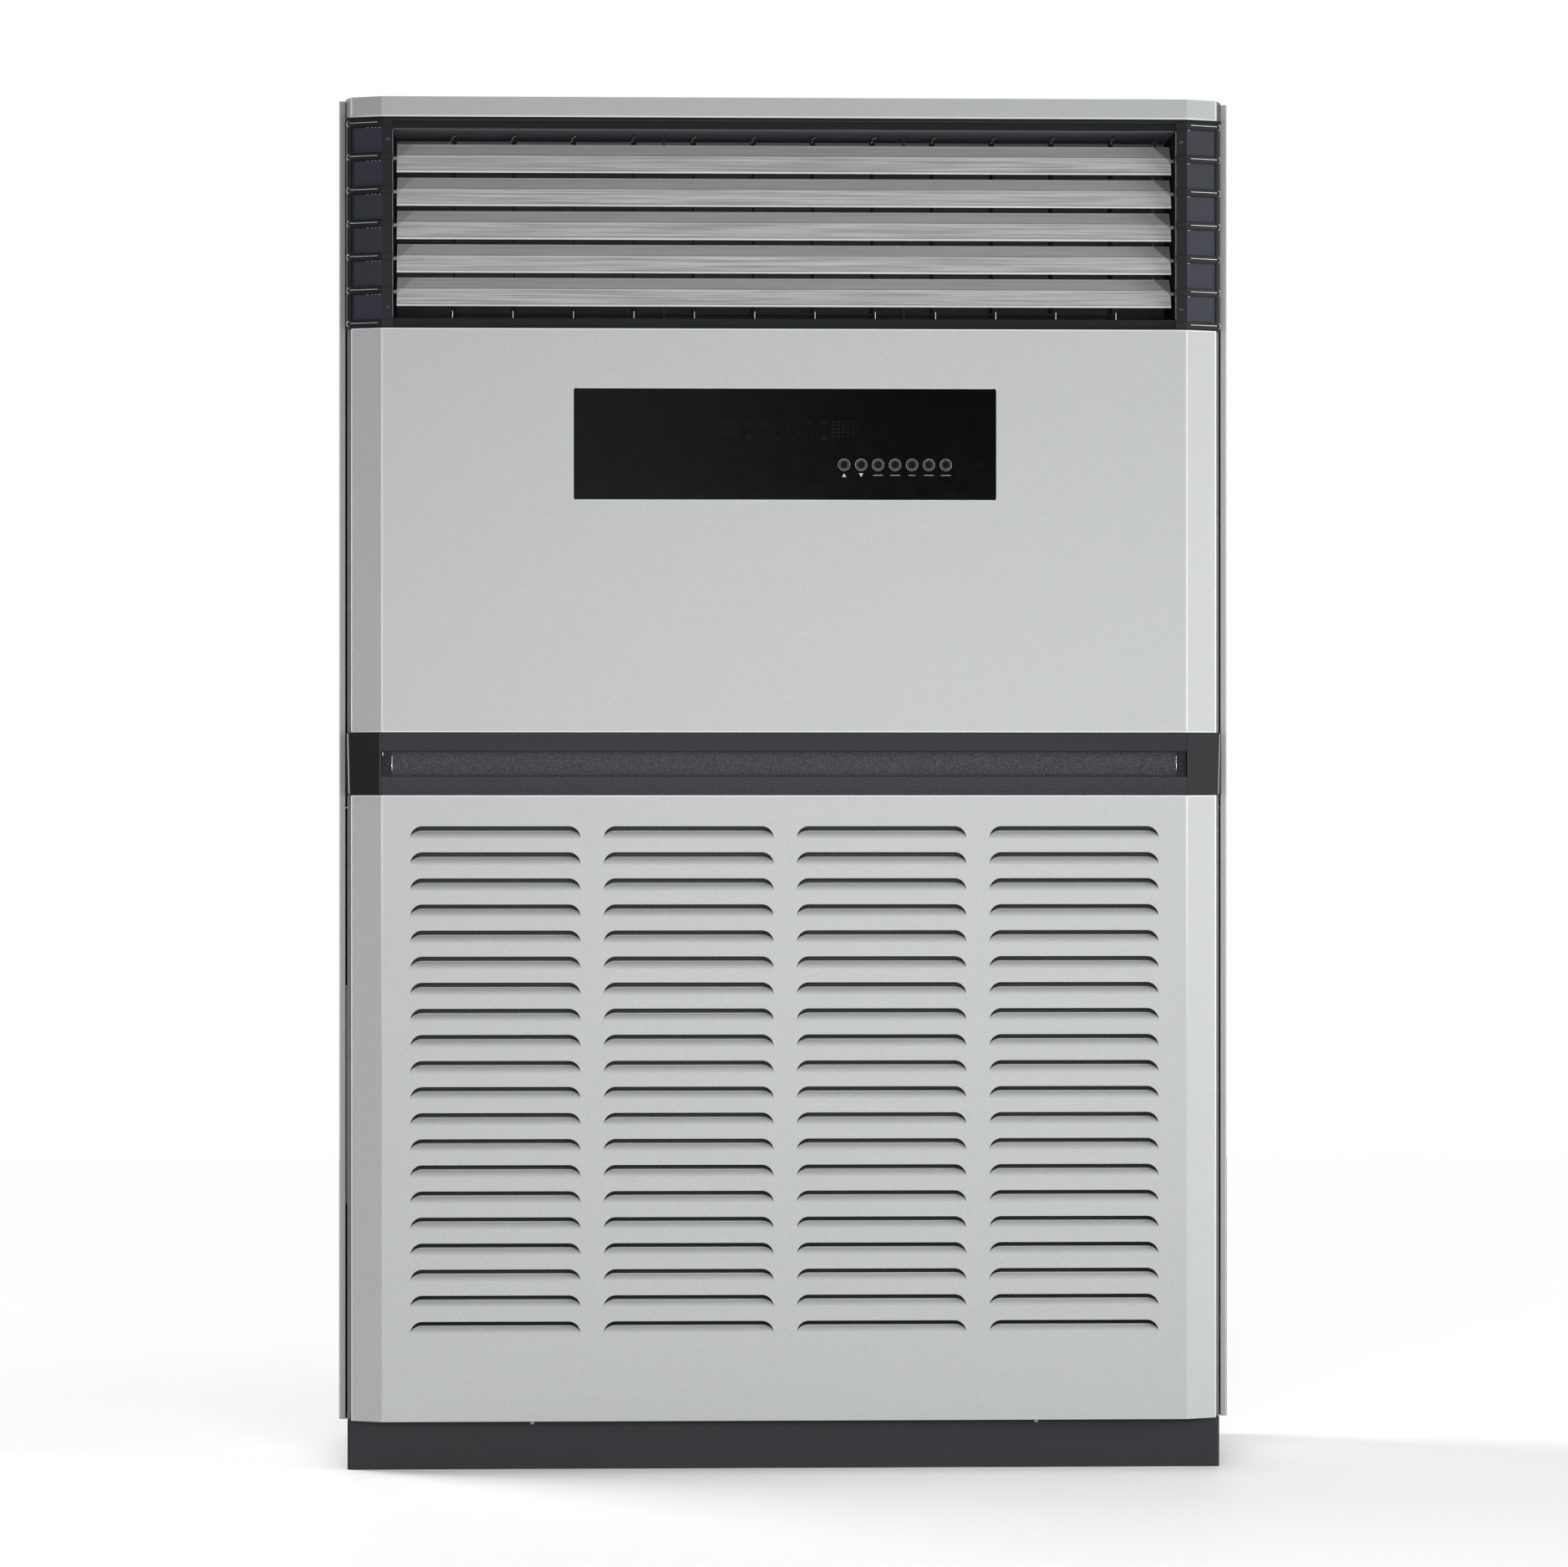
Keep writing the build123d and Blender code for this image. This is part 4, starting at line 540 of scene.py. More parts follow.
@dataclass(frozen=True)
class StripFinish(Finish):
    """Speckled plastic with painted shade: a shaded channel between two bands, dark lines along the
    channel's grooves and dark screw pockets.

    Args:
        channel: levels of the channel's floor and ceiling.
        ceiling: painted shade under the ceiling: its start and end from there, and the shares left at them.
        floor: the same over the floor.
        skirt: the same on the lower band, which starts at the floor.
        upper: share left on the upper band under its painted shade.
        pocket: distance of the pockets from the middle plane.
        groove: distance of the middles of the painted shade lines along the two grooves from the channel's
            edges, inside it.
        groove_line: half the width of such a line and the width of its soft edge.
        gloom: how much the painted shade of the pockets and the grooves takes away.
    """

    channel: Pair = (934.8, 969.2)
    ceiling: Ramp = (-9.0, 0.0, 1.0, 0.5)
    floor: Ramp = (0.0, 6.0, 0.6, 1.0)
    skirt: Ramp = (-24.0, 0.0, 0.6, 0.8)
    upper: float = 0.5
    pocket: float = 529.8
    groove: float = 0.6
    groove_line: Pair = (0.5, 0.3)
    gloom: float = 0.75

    def tone(self, shader: Shader, grain: Socket) -> Socket:
        """Paint shade over the bands, in the channel's corners, along its grooves and in the pockets.

        Args:
            shader: builder of the material.
            grain: its grain.

        Returns:
            Colour of the surface.
        """
        low, high = self.channel
        level = shader.axis("Z")

        def shaded(edge: float, ramp: Ramp) -> Socket:
            """Share of the colour left under the painted shade near an edge."""
            return shader.add("MapRange", level, edge + ramp[0], edge + ramp[1], *ramp[2:])

        inside = shader.add("Math:MINIMUM", shaded(high, self.ceiling), shaded(low, self.floor))
        across = shader.add("Math:ABSOLUTE", shader.axis("X"))
        pocket = shader.add("Math:GREATER_THAN", across, self.pocket)
        left = shader.add("Math:MULTIPLY_ADD", pocket, -self.gloom, 1.0)
        inside = shader.add("Math:MULTIPLY", inside, left)
        upper = shader.add("Math:GREATER_THAN", level, high)
        lower = shader.add("Math:LESS_THAN", level, low)
        over = shader.add("Math:MULTIPLY", upper, self.upper)
        under = shader.add("Math:MULTIPLY", lower, shaded(low, self.skirt))
        share = shader.add("Math:ADD", over, under)
        between = shader.add("Math:SUBTRACT", 1.0, shader.add("Math:ADD", upper, lower))
        share = shader.add("Math:MULTIPLY_ADD", inside, between, share)
        middles = (high - self.groove, low + self.groove)
        grooves = [shader.band(level, middle, *self.groove_line) for middle in middles]
        left = shader.add("Math:MULTIPLY_ADD", shader.add("Math:MAXIMUM", *grooves), -self.gloom, 1.0)
        share = shader.add("Math:MULTIPLY", share, left)
        return shader.add("Mix:RGBA", share, linear("000000"), super().tone(shader, grain))


@dataclass(frozen=True)
class WindowFinish(Finish):
    """Smoked acrylic, a little lighter towards the left.

    Args:
        thinning: distances from the middle plane between which it turns lighter.
        thin: colour at its lightest.
    """

    thinning: Pair = (220.0, -320.0)
    thin: str = "1B1B1B"

    def tone(self, shader: Shader, grain: Socket) -> Socket:
        """Near-black, a little lighter towards the left end."""
        share = shader.add("MapRange", shader.axis("X"), *self.thinning, interpolation_type="SMOOTHSTEP")
        return shader.over(super().tone(shader, grain), self.thin, share)


@dataclass(frozen=True)
class ButtonFinish(Finish):
    """Button face with a pale ring printed on it.

    Args:
        ring: radius of the ring.
        line: half the ring's width, and the width of its soft edge.
    """

    ring: float = 5.8
    line: float = 0.2

    def tone(self, shader: Shader, grain: Socket) -> Socket:
        """Mix the ring into the plastic.

        Args:
            shader: builder of the material.
            grain: its grain.

        Returns:
            Colour of the surface.
        """
        half = BUTTON_PITCH / 2
        along = shader.add("Math:SUBTRACT", shader.axis("X"), BUTTON_X - half)
        across = shader.add("Math:SUBTRACT", shader.add("Math:MODULO", along, BUTTON_PITCH), half)
        up = shader.add("Math:SUBTRACT", shader.axis("Z"), BUTTON_Z)
        square = shader.add("Math:POWER", shader.add("Math:ABSOLUTE", across), 2.0)
        squares = shader.add("Math:ADD", square, shader.add("Math:MULTIPLY", up, up))
        ring = shader.band(shader.add("Math:SQRT", squares), self.ring, self.line, self.line)
        return shader.over(super().tone(shader, grain), PRINT_INK, ring)


@dataclass(frozen=True)
class VaneFinish(Finish):
    """Painted vane with painted shade and highlights along each row's folds, painted shadow at its ends and
    painted shade at its back.

    Args:
        crease: height of the crease over the vane's pivot.
        crease_line: half its width and the width of its soft edge.
        lip: height of the groove over the lower lip.
        groove_line: half its width and the width of its soft edge.
        dark_line: colour of the painted shade in the crease and the groove, and its strength.
        under: distance of the painted highlight under the crease.
        under_line: half its width and the width of its soft edge.
        rim: height from which the upper rim takes a painted highlight.
        lit_line: colour of those painted highlights, and its strength.
        lip_line: colour of the painted highlight on the lower lip, and its strength.
        lip_gap: distance from the groove down to the lip.
        calm: how much quieter the streaks are above the crease.
        shade_start: distance from the middle plane of the painted shadow at the vanes' ends.
        shade_slope: how far the shade's edge leans, per mm of height.
        shade_edge: start and end of its soft edge.
        shade_share: strength of the shade on the left, and what the right has more.
        shade: colour of that painted shadow.
        back: colour of the painted shade on what lies deeper than the front sheets' returns, and its
            strength.
    """

    crease: float = 4.5
    crease_line: Pair = (0.3, 0.5)
    lip: float = -17.4
    groove_line: Pair = (0.25, 0.4)
    dark_line: Tuple[str, float] = ("3E403F", 0.55)
    under: float = 1.5
    under_line: Pair = (0.4, 0.4)
    rim: float = 18.3
    lit_line: Tuple[str, float] = ("E8EAE6", 0.6)
    lip_line: Tuple[str, float] = ("E2E5E1", 0.8)
    lip_gap: float = 1.0
    calm: float = 0.7
    shade_start: float = 520.5
    shade_slope: float = -0.95
    shade_edge: Pair = (-1.0, 1.5)
    shade_share: Pair = (0.25, 0.35)
    shade: str = "2E2F2D"
    back: Tuple[str, float] = ("1C1D1E", 0.9)

    def tone(self, shader: Shader, grain: Socket) -> Socket:
        """Streak the paint, calmer above the crease, and paint shade and highlights on the folds, shadow at
        the ends and shade at the back.

        Args:
            shader: builder of the material.
            grain: its grain.

        Returns:
            Colour of the surface.
        """
        first = PIVOT_TOP_Z - (VANES - 1) * ROW_PITCH - ROW_PITCH / 2
        row = shader.add("Math:MODULO", shader.add("Math:SUBTRACT", shader.axis("Z"), first), ROW_PITCH)
        level = shader.add("Math:SUBTRACT", row, ROW_PITCH / 2)
        above = shader.add("Math:GREATER_THAN", level, self.crease)
        quiet = shader.add("Math:MULTIPLY_ADD", above, -self.calm, 1.0)
        streaks = shader.add("Math:MULTIPLY_ADD", shader.add("Math:SUBTRACT", grain, 0.5), quiet, 0.5)
        paint = super().tone(shader, streaks)
        crease = shader.band(level, self.crease, *self.crease_line)
        groove = shader.band(level, self.lip, *self.groove_line)
        colour, strength = self.dark_line
        paint = shader.over(paint, colour, shader.add("Math:MAXIMUM", crease, groove), strength)
        under = shader.band(level, self.crease - self.under, *self.under_line)
        rim = shader.add("Math:GREATER_THAN", level, self.rim)
        colour, strength = self.lit_line
        paint = shader.over(paint, colour, shader.add("Math:MAXIMUM", under, rim), strength)
        colour, strength = self.lip_line
        edge = shader.add("Math:LESS_THAN", level, self.lip - self.lip_gap)
        paint = shader.over(paint, colour, edge, strength)
        reach = shader.add("Math:MULTIPLY_ADD", level, self.shade_slope, self.shade_start)
        past = shader.add("Math:SUBTRACT", shader.add("Math:ABSOLUTE", shader.axis("X")), reach)
        wedge = shader.add("MapRange", past, *self.shade_edge)
        right = shader.add("Math:GREATER_THAN", shader.axis("X"), 0.0)
        share, more = self.shade_share
        paint = shader.over(paint, self.shade, wedge, shader.add("Math:MULTIPLY_ADD", right, more, share))
        colour, strength = self.back
        behind = shader.add("Math:GREATER_THAN", shader.axis("Y"), RETURN_Y)
        return shader.over(paint, colour, behind, strength)


@dataclass(frozen=True)
class MeshFinish(Finish):
    """Net whose fine threads cross at a fixed pitch.

    Args:
        pitch: distance of the threads.
        gap: level of the wave over which it counts as thread.
    """

    pitch: float = 3.0
    gap: float = 0.6

    def tone(self, shader: Shader, grain: Socket) -> Socket:
        """Lay threads of the light tone over the dark ground.

        Args:
            shader: builder of the material.
            grain: its grain, which the threads leave out.

        Returns:
            Colour of the surface.
        """
        threads = []
        for letter in ("X", "Z"):
            turn = shader.add("Math:MULTIPLY", shader.axis(letter), 2 * math.pi / self.pitch)
            threads.append(shader.add("Math:GREATER_THAN", shader.add("Math:SINE", turn), self.gap))
        return super().tone(shader, shader.add("Math:MAXIMUM", *threads))


class Look(Enum):
    """The finishes: first those named for the record's material slots, then those of single pieces."""

    # Powder-coated steel sheet: an even satin grey with a very fine orange peel, carrying painted highlights
    # on its folds and cut edges and painted shade in the side slits.
    CABINET_PAINT = FoldedPaint("CabinetPaint")
    # Textured charcoal powder coat on the plinth: dull, with a fine pebble.
    PLINTH_PAINT = Finish("PlinthPaint", "3C3C40", "303034", 0.55, 1.2, bump=0.03, specular=0.15)
    # Moulded ABS with a coarse spark-eroded texture that sparkles in small specks.
    SPECKLED_TRIM = StripFinish(
        "SpeckledTrim", "4E5059", "1C1D21", 0.45, 1.6, contrast=1.0, bump=0.06, specular=0.15, spread=0.08
    )
    # Smooth dark moulded ABS, slightly glossy.
    DARK_TRIM = Finish("DarkTrim", "202125", "18191C", 0.35, 3.0, bump=0.01, specular=0.15)
    # Painted extruded vanes: fine streaks run along their length, drawn coarser than the real 0.3 mm.
    VANE_PLASTIC = VaneFinish(
        "VanePaint", "E4E7E4", "B0B4B1", 0.42, 2.3, contrast=1.0, stretch=(70.0, 1.0, 1.0), spread=0.13
    )
    # Black polypropylene blades and links, matt from the mould.
    BLADE_PLASTIC = Finish("BladePlastic", "1C1D1F", "121314", 0.45, 2.0, specular=0.15)
    # Smoked acrylic with a hard coat that keeps reflections low.
    SMOKED_WINDOW = WindowFinish("SmokedWindow", "040405", "020203", 0.12, 20.0, bump=0.0, specular=0.04)
    # Gloss-moulded black ABS, nearly as dark as the window round it.
    BUTTON_PLASTIC = ButtonFinish("ButtonPlastic", "0A0A0B", "070708", 0.2, 3.0, bump=0.0, specular=0.05)
    # Black polypropylene mouldings inside the cabinet, matt from the mould.
    INNER_PLASTIC = Finish("InnerPlastic", "2A2B2E", "1D1E20", 0.5, 2.0, specular=0.2)
    # Fibreglass board under green solder resist, with a low gloss.
    BOARD_GREEN = Finish("BoardGreen", "1F5B3A", "17472D", 0.35, 2.0)
    # Hot-dip galvanised sheet: its spangle mottles the grey.
    ZINC_SHEET = Finish("ZincSheet", "B4B8BB", "8E9295", 0.38, 9.0, metallic=1.0, contrast=0.8, bump=0.01)
    # Turned shaft steel: fine rings round the axis.
    TURNED_STEEL = Finish(
        "TurnedSteel", "B9BABB", "A0A1A3", 0.25, 0.8, metallic=1.0, stretch=(1.0, 20.0, 20.0)
    )
    # Dipped grey enamel on the motor's shell, even and half matt.
    MOTOR_PAINT = Finish("MotorPaint", "4E5459", "42474B", 0.4, 2.0)
    # Rolled aluminium fins, drawn coarser than their real 1.8 mm pitch so that they can be seen.
    COIL_FINS = Finish(
        "CoilFins", "C0C4C6", "5E6264", 0.35, 2.4, metallic=1.0, contrast=1.0, stretch=(1.0, 90.0, 90.0)
    )
    # Drawn copper tube, a little dull from handling.
    COPPER_TUBE = Finish("CopperTube", "C97B52", "A8603C", 0.28, 6.0, metallic=1.0)
    # Woven nylon filter net, its grey threads over a black ground.
    FILTER_MESH = MeshFinish("FilterMesh", "4A4C50", "101012", 0.6, 1.5, pitch=4.0)
    # Blackened steel screws, darkly shiny.
    SCREW_STEEL = Finish("ScrewSteel", "505054", "2C2C2F", 0.3, 1.0, metallic=1.0)

    # Smooth inserts of the outlet's corners, polished ABS with a cool tint, drawn lighter as a painted
    # reflection of the studio.
    INSERT = Finish("CornerInsert", "464852", "3A3C45", 0.3, 2.5, bump=0.006, specular=0.06)
    # Silk-screened print on the display, off-white ink.
    PRINT = Finish("DisplayPrint", PRINT_INK, "C6C8C4", 0.5, 0.8, bump=0.0)
    # Unlit segments behind the smoked window, barely lighter than the ground.
    GHOST = Finish("UnlitSegments", "151618", "121315", 0.5, 0.8, bump=0.0, specular=0.05)
    # Painted highlights on the cut edges of moulded ABS.
    EDGE = Finish("TrimEdgeHighlight", "8A8C93", "6C6E75", 0.3, 1.2, bump=0.01, specular=0.3)
    # Rounded glossy corners mirror the lamps as a line; these painted highlights are drawn as a metal, which
    # always shows them.
    GLINT = Finish("TrimGlint", "DADCDC", "BABCBE", 0.3, 1.2, bump=0.01, metallic=1.0)
    # Matt black ABS of the duct, which the vanes shade, with painted light on the faces that look down.
    DUCT = DuctFinish("DuctPlastic", "1A1B1F", "131417", 0.5, 3.0, bump=0.01, specular=0.12)
    # The cabinet's powder coat on the louvred sheet, with a painted highlight on the tongues' lips.
    LOUVRED = LouvrePaint("LouvrePaint")
    # The same on the side panels, with painted shade on their forward flanges.
    SIDE = SidePaint("SidePaint")
    # Primed sheet of the corner posts, seen as a flat grey in the slit beside the front sheets.
    POST = Finish("PostPrimer", "8E9092", "808284", 0.5, 1.8, bump=0.01, specular=0.3)
    # The cabinet's powder coat on the rear panel, with painted shade on its inner face.
    LINED = InnerShadePaint("InnerShadePaint")
    # The cabinet's powder coat on the folded cover, a shade darker: painted shade for the light that falls
    # off towards the top.
    COVER = FoldedPaint("CoverPaint", "C6CAC9", "B8BCBB", folds=(HALF_FRONT - 0.6,))
    # Zinc-plated pan heads, pale and shiny.
    BRIGHT = Finish("PlatedScrew", "BFC1C2", "9FA1A3", 0.28, 0.8, metallic=1.0)
    # White studio floor paint, even and matt.
    FLOOR = Finish("FloorPaint", "F4F4F4", "EFEFEF", 0.6, 30.0, bump=0.0)

    @property
    def slot(self) -> str:
        """Name of the record's material slot."""
        return self.name.lower()


class Palette:
    """Materials, each built once."""

    def __init__(self) -> None:
        """Start without a material."""
        self.made: Dict[Look, Material] = {}

    def get(self, look: Look) -> Material:
        """Find a material, or build it when it is first asked for.

        Args:
            look: its look.

        Returns:
            The material.
        """
        if look not in self.made:
            self.made[look] = look.value.build()
        return self.made[look]


class Shape:
    """A mesh put together from bars, slabs and rings, in mm."""

    def __init__(self) -> None:
        """Start with an empty mesh."""
        self.mesh = bmesh.new()

    def point(self, place: Sequence[float]) -> Vertex:
        """Add a vertex at a place in mm."""
        return self.mesh.verts.new(tuple(part * MM for part in place))

    def skin(self, rings: Sequence[Sequence[Vertex]]) -> None:
        """Add quads between closed rings.

        Args:
            rings: rings of vertices, all of one count.
        """
        for lower, upper in zip(rings, rings[1:]):
            for index in range(len(lower)):
                following = (index + 1) % len(lower)
                self.mesh.faces.new((lower[index], lower[following], upper[following], upper[index]))

    def loft(self, sections: Sequence[Sequence[Sequence[float]]]) -> None:
        """Add a skin over closed sections and fill the first and the last.

        Args:
            sections: rings of points in mm, all of one count.
        """
        rings = [[self.point(place) for place in section] for section in sections]
        self.skin(rings)
        self.mesh.faces.new(rings[0][::-1])
        self.mesh.faces.new(rings[-1])

    def slab(self, outline: Sequence[Flat], corner: Matrix, depth: float, edge: float) -> None:
        """Add a plate with chamfered front edges.

        Args:
            outline: corners seen from the front, in mm.
            corner: places the outline's plane; its +Z points out of the plate's front.
            depth: thickness behind the front.
            edge: width of the chamfer.
        """
        middle = Vector((sum(x for x, _ in outline), sum(y for _, y in outline))) / len(outline)
        inner = []
        for x, y in outline:
            away = Vector((x, y)) - middle
            inner.append(middle + away * max(0.0, 1 - edge * DIAGONAL / max(away.length, edge)))
        levels = [(outline, -depth), (outline, -edge), (inner, 0.0)]
        self.loft([[corner @ Vector((x, y, level)) for x, y in ring] for ring, level in levels])

    def bar(self, path: Sequence[Point], radius: float, sides: int = 8) -> None:
        """Add a round bar with domed ends.

        Args:
            path: points along its axis.
            radius: its radius.
            sides: number of its sides.
        """
        points = [Vector(place) for place in path]
        sections = []
        for index, place in enumerate(points):
            ahead = points[min(index + 1, len(points) - 1)] - place
            behind = place - points[max(index - 1, 0)]
            way = (ahead.normalized() + behind.normalized()).normalized()
            side = way.orthogonal() if abs(way.z) > STEEP else way.cross(Vector((0, 0, 1)))
            side.normalize()
            up = side.cross(way)
            turns = circle(sides)
            ring = [place + (side * math.cos(turn) + up * math.sin(turn)) * radius for turn in turns]
            sections.append((place, way, ring))

        def dome(end: int, reach: int) -> List[List[Vector]]:
            """Lay out the rings of one domed end.

            Args:
                end: index of the path's end.
                reach: -1 against the path's way, 1 along it.

            Returns:
                The rings, from the tip inwards.
            """
            place, way, ring = sections[end]
            rings = []
            for lift in DOME:
                rise = way * reach * radius * math.sin(lift)
                rings.append([place + (spot - place) * math.cos(lift) + rise for spot in ring])
            return rings

        self.loft(dome(0, -1) + [ring for _, _, ring in sections] + dome(-1, 1)[::-1])

    def upright(self, x: float, y: float, low: float, high: float, radius: float) -> None:
        """Add an upright round bar.

        Args:
            x: its place across.
            y: its place in depth.
            low: level of its foot.
            high: level of its top.
            radius: its radius.
        """
        self.bar([(x, y, low), (x, y, high)], radius)

    def ring(self, centre: Point, outer: float, inner: float, depth: float, sides: int = 40) -> None:
        """Add a flat ring that faces -Y, with a softly domed face.

        Args:
            centre: its centre on the face that it lies on.
            outer: outer radius.
            inner: inner radius.
            depth: height of the dome.
            sides: number of its sides.
        """
        x, y, z = centre
        edge = -depth * SHOULDER
        profile = [(inner, 0.0), (inner, edge), ((inner + outer) / 2, -depth), (outer, edge), (outer, 0.0)]
        rings = []
        for turn in circle(sides):
            across, up = math.cos(turn), math.sin(turn)
            places = [(x + reach * across, y + lift, z + reach * up) for reach, lift in profile]
            rings.append([self.point(place) for place in places])
        self.skin(rings + rings[:1])

    def build(self, name: str, material: Material, slot: Look, smooth: float = FLAT_SMOOTH) -> Piece:
        """Turn the shape into an object that rides the cabinet.

        Args:
            name: object name.
            material: its material.
            slot: look named for the record's material slot; it is not used.
            smooth: edges flatter than this angle are shaded smooth.

        Returns:
            The new object.
        """
        bmesh.ops.recalc_face_normals(self.mesh, faces=self.mesh.faces)
        mesh = bpy.data.meshes.new(name)
        self.mesh.to_mesh(mesh)
        self.mesh.free()
        mesh.materials.clear()
        mesh.materials.append(material)
        for face in mesh.polygons:
            face.use_smooth = True
        mesh.set_sharp_from_angle(angle=math.radians(smooth))
        obj = put(name, mesh)
        weighted = obj.modifiers.new("EvenShading", "WEIGHTED_NORMAL")
        weighted.keep_sharp = True
        weighted.weight = 100
        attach(obj, Body.CABINET.value)
        slot.slot
        return obj


@dataclass
class CadDress:
    """Gives every CAD node the finish of its slot, or the one of its own.

    Args:
        frame: the loaded frame.
        palette: the materials.
    """

    frame: dict
    palette: Palette

    def build(self) -> List[Piece]:
        """Dress the nodes.

        Returns:
            Their objects.
        """
        own = {
            "outlet_frame": Look.DUCT,
            "top_cover": Look.COVER,
            "rear_panel": Look.LINED,
            "front_posts": Look.POST,
            "left_side_panel": Look.SIDE,
            "right_side_panel": Look.SIDE,
        }
        slots = {part["node"]: part["material_slot"] for part in self.frame["record"]["subparts"]}
        for node, obj in self.frame["nodes"].items():
            look = own.get(node, Look[slots[node].upper()])
            obj.data.materials.clear()
            obj.data.materials.append(self.palette.get(look))
        return list(self.frame["nodes"].values())


@dataclass
class FrontSheet:
    """A bevelled front sheet with rounded folds, side returns, hems and cut-outs.

    Args:
        palette: the materials.
        node: the CAD node that it stands for.
        holes: outlines cut through the flat middle, as (x, z) in mm.
        fold: outside radius of the folds.
        fold_steps: chords of each fold.
        hem_depth: depth of the hems behind the bevel.
        hem_inset: how far the hems' ends stay inside the flat's and the front's edges.
        glint_radius: radius of the painted highlight down each outer fold.
        glint_inset: how far inside the front's side it runs.
        glint_end: distance of its ends from the sheet's foot and top.
        paint: its finish.
    """

    palette: Palette
    node: str
    holes: List[List[Flat]] = field(default_factory=list)
    fold: float = 3.0
    fold_steps: int = 5
    hem_depth: float = 14.0
    hem_inset: Pair = (6.0, 10.0)
    glint_radius: float = 0.6
    glint_inset: float = 0.7
    glint_end: float = 1.0
    paint: Look = Look.CABINET_PAINT

    def plan(self, inset: float) -> List[Flat]:
        """Lay out the right half of the plan, from the flat middle round to the return's end.

        Args:
            inset: distance inside the sheet's outer face.

        Returns:
            Points as (x, y).
        """
        corners = [
            (HALF_FLAT - FLAT_MARGIN, FRONT_Y),
            (HALF_FLAT, FRONT_Y),
            (HALF_FRONT, FRONT_Y + BEVEL_DEPTH),
            (HALF_FRONT, RETURN_Y),
        ]
        points: List[Flat] = []
        for index in (1, 2):
            before, here, after = (Vector(corners[step]) for step in (index - 1, index, index + 1))
            back = (before - here).normalized()
            on = (after - here).normalized()
            half_turn = back.angle(on) / 2
            centre = here + (back + on).normalized() * self.fold / math.sin(half_turn)
            start = here + back * self.fold / math.tan(half_turn) - centre
            end = here + on * self.fold / math.tan(half_turn) - centre
            between = [start.slerp(end, step / self.fold_steps) for step in range(1, self.fold_steps)]
            for spot in (start, *between, end):
                spot = centre + spot.normalized() * (self.fold - inset)
                points.append((spot.x, spot.y))
        points.append((HALF_FRONT - inset, RETURN_Y))
        return points

    def wings(self, shape: Shape, low: float, high: float) -> float:
        """Add both bevelled sides.

        Args:
            shape: shape to add them to.
            low: level of the sheet's foot.
            high: level of its top.

        Returns:
            Half the width of the flat middle between them.
        """
        outer = self.plan(0.0)
        inner = self.plan(SHEET)
        for side in SIDES:
            loop = [(side * x, y) for x, y in outer] + [(side * x, y) for x, y in reversed(inner)]
            shape.loft([[(x, y, level) for x, y in loop] for level in (low, high)])
        return outer[0][0]

    def hems(self, shape: Shape, low: float, high: float) -> None:
        """Add the folded hems behind the top and bottom edges.

        Args:
            shape: shape to add them to.
            low: level of the sheet's foot.
            high: level of its top.
        """
        front, side = HALF_FLAT - self.hem_inset[0], HALF_FRONT - self.hem_inset[1]
        bevel = FRONT_Y + BEVEL_DEPTH
        plan = [(front, FRONT_Y + SHEET), (side, bevel), (side, bevel + self.hem_depth)]
        outline = plan + [(-x, y) for x, y in reversed(plan)]
        for level in (low, high - SHEET):
            shape.loft([[(x, y, level + lift) for x, y in outline] for lift in (0.0, SHEET)])

    def middle(self, half: float, low: float, high: float) -> bpy.types.Mesh:
        """Cut out the flat middle.

        Args:
            half: half its width.
            low: level of its foot.
            high: level of its top.

        Returns:
            Its mesh, in metres.
        """
        curve = bpy.data.curves.new("FlatMiddle", "CURVE")
        curve.dimensions = "2D"
        curve.fill_mode = "BOTH"
        curve.extrude = SHEET / 2 * MM
        outline = [(-half, low), (half, low), (half, high), (-half, high)]
        for loop in [outline] + self.holes:
            spline = curve.splines.new("POLY")
            spline.points.add(len(loop) - 1)
            spline.use_cyclic_u = True
            for spot, (x, z) in zip(spline.points, loop):
                spot.co = (x * MM, z * MM, 0.0, 1.0)
        holder = put("FlatMiddle", curve)
        bpy.context.view_layer.update()
        cut = holder.evaluated_get(bpy.context.evaluated_depsgraph_get())
        mesh = bpy.data.meshes.new_from_object(cut)
        bpy.data.objects.remove(holder)
        upright = Matrix.Rotation(math.pi / 2, 4, "X")
        mesh.transform(Matrix.Translation((0, (FRONT_Y + SHEET / 2) * MM, 0)) @ upright)
        return mesh

    def fold_glints(self, name: str, low: float, high: float) -> Piece:
        """Draw a fine painted highlight down each outer fold.

        Args:
            name: object name.
            low: level of the sheet's foot.
            high: level of its top.

        Returns:
            The new object.
        """
        shape = Shape()
        y = FRONT_Y + BEVEL_DEPTH + self.glint_radius
        for side in SIDES:
            x = side * (HALF_FRONT - self.glint_inset)
            shape.upright(x, y, low + self.glint_end, high - self.glint_end, self.glint_radius)
        return shape.build(name, self.palette.get(Look.GLINT), Look.CABINET_PAINT, ROUND_SMOOTH)

    def extras(self, shape: Shape) -> None:
        """Add what a kind of sheet has besides."""

    def build(self) -> List[Piece]:
        """Make the sheet and the painted highlights down its folds, and put the sheet in place of its CAD
        node.

        Returns:
            Both pieces.
        """
        low, high = (corner.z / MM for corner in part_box(self.node))
        shape = Shape()
        half = self.wings(shape, low, high)
        self.hems(shape, low, high)
        self.extras(shape)
        shape.mesh.from_mesh(self.middle(half, low, high))
        name = "".join(word.capitalize() for word in self.node.split("_"))
        obj = shape.build(name, self.palette.get(self.paint), Look.CABINET_PAINT)
        folds = self.fold_glints(name + "Folds", low, high)
        return [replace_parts(obj, self.node), folds]


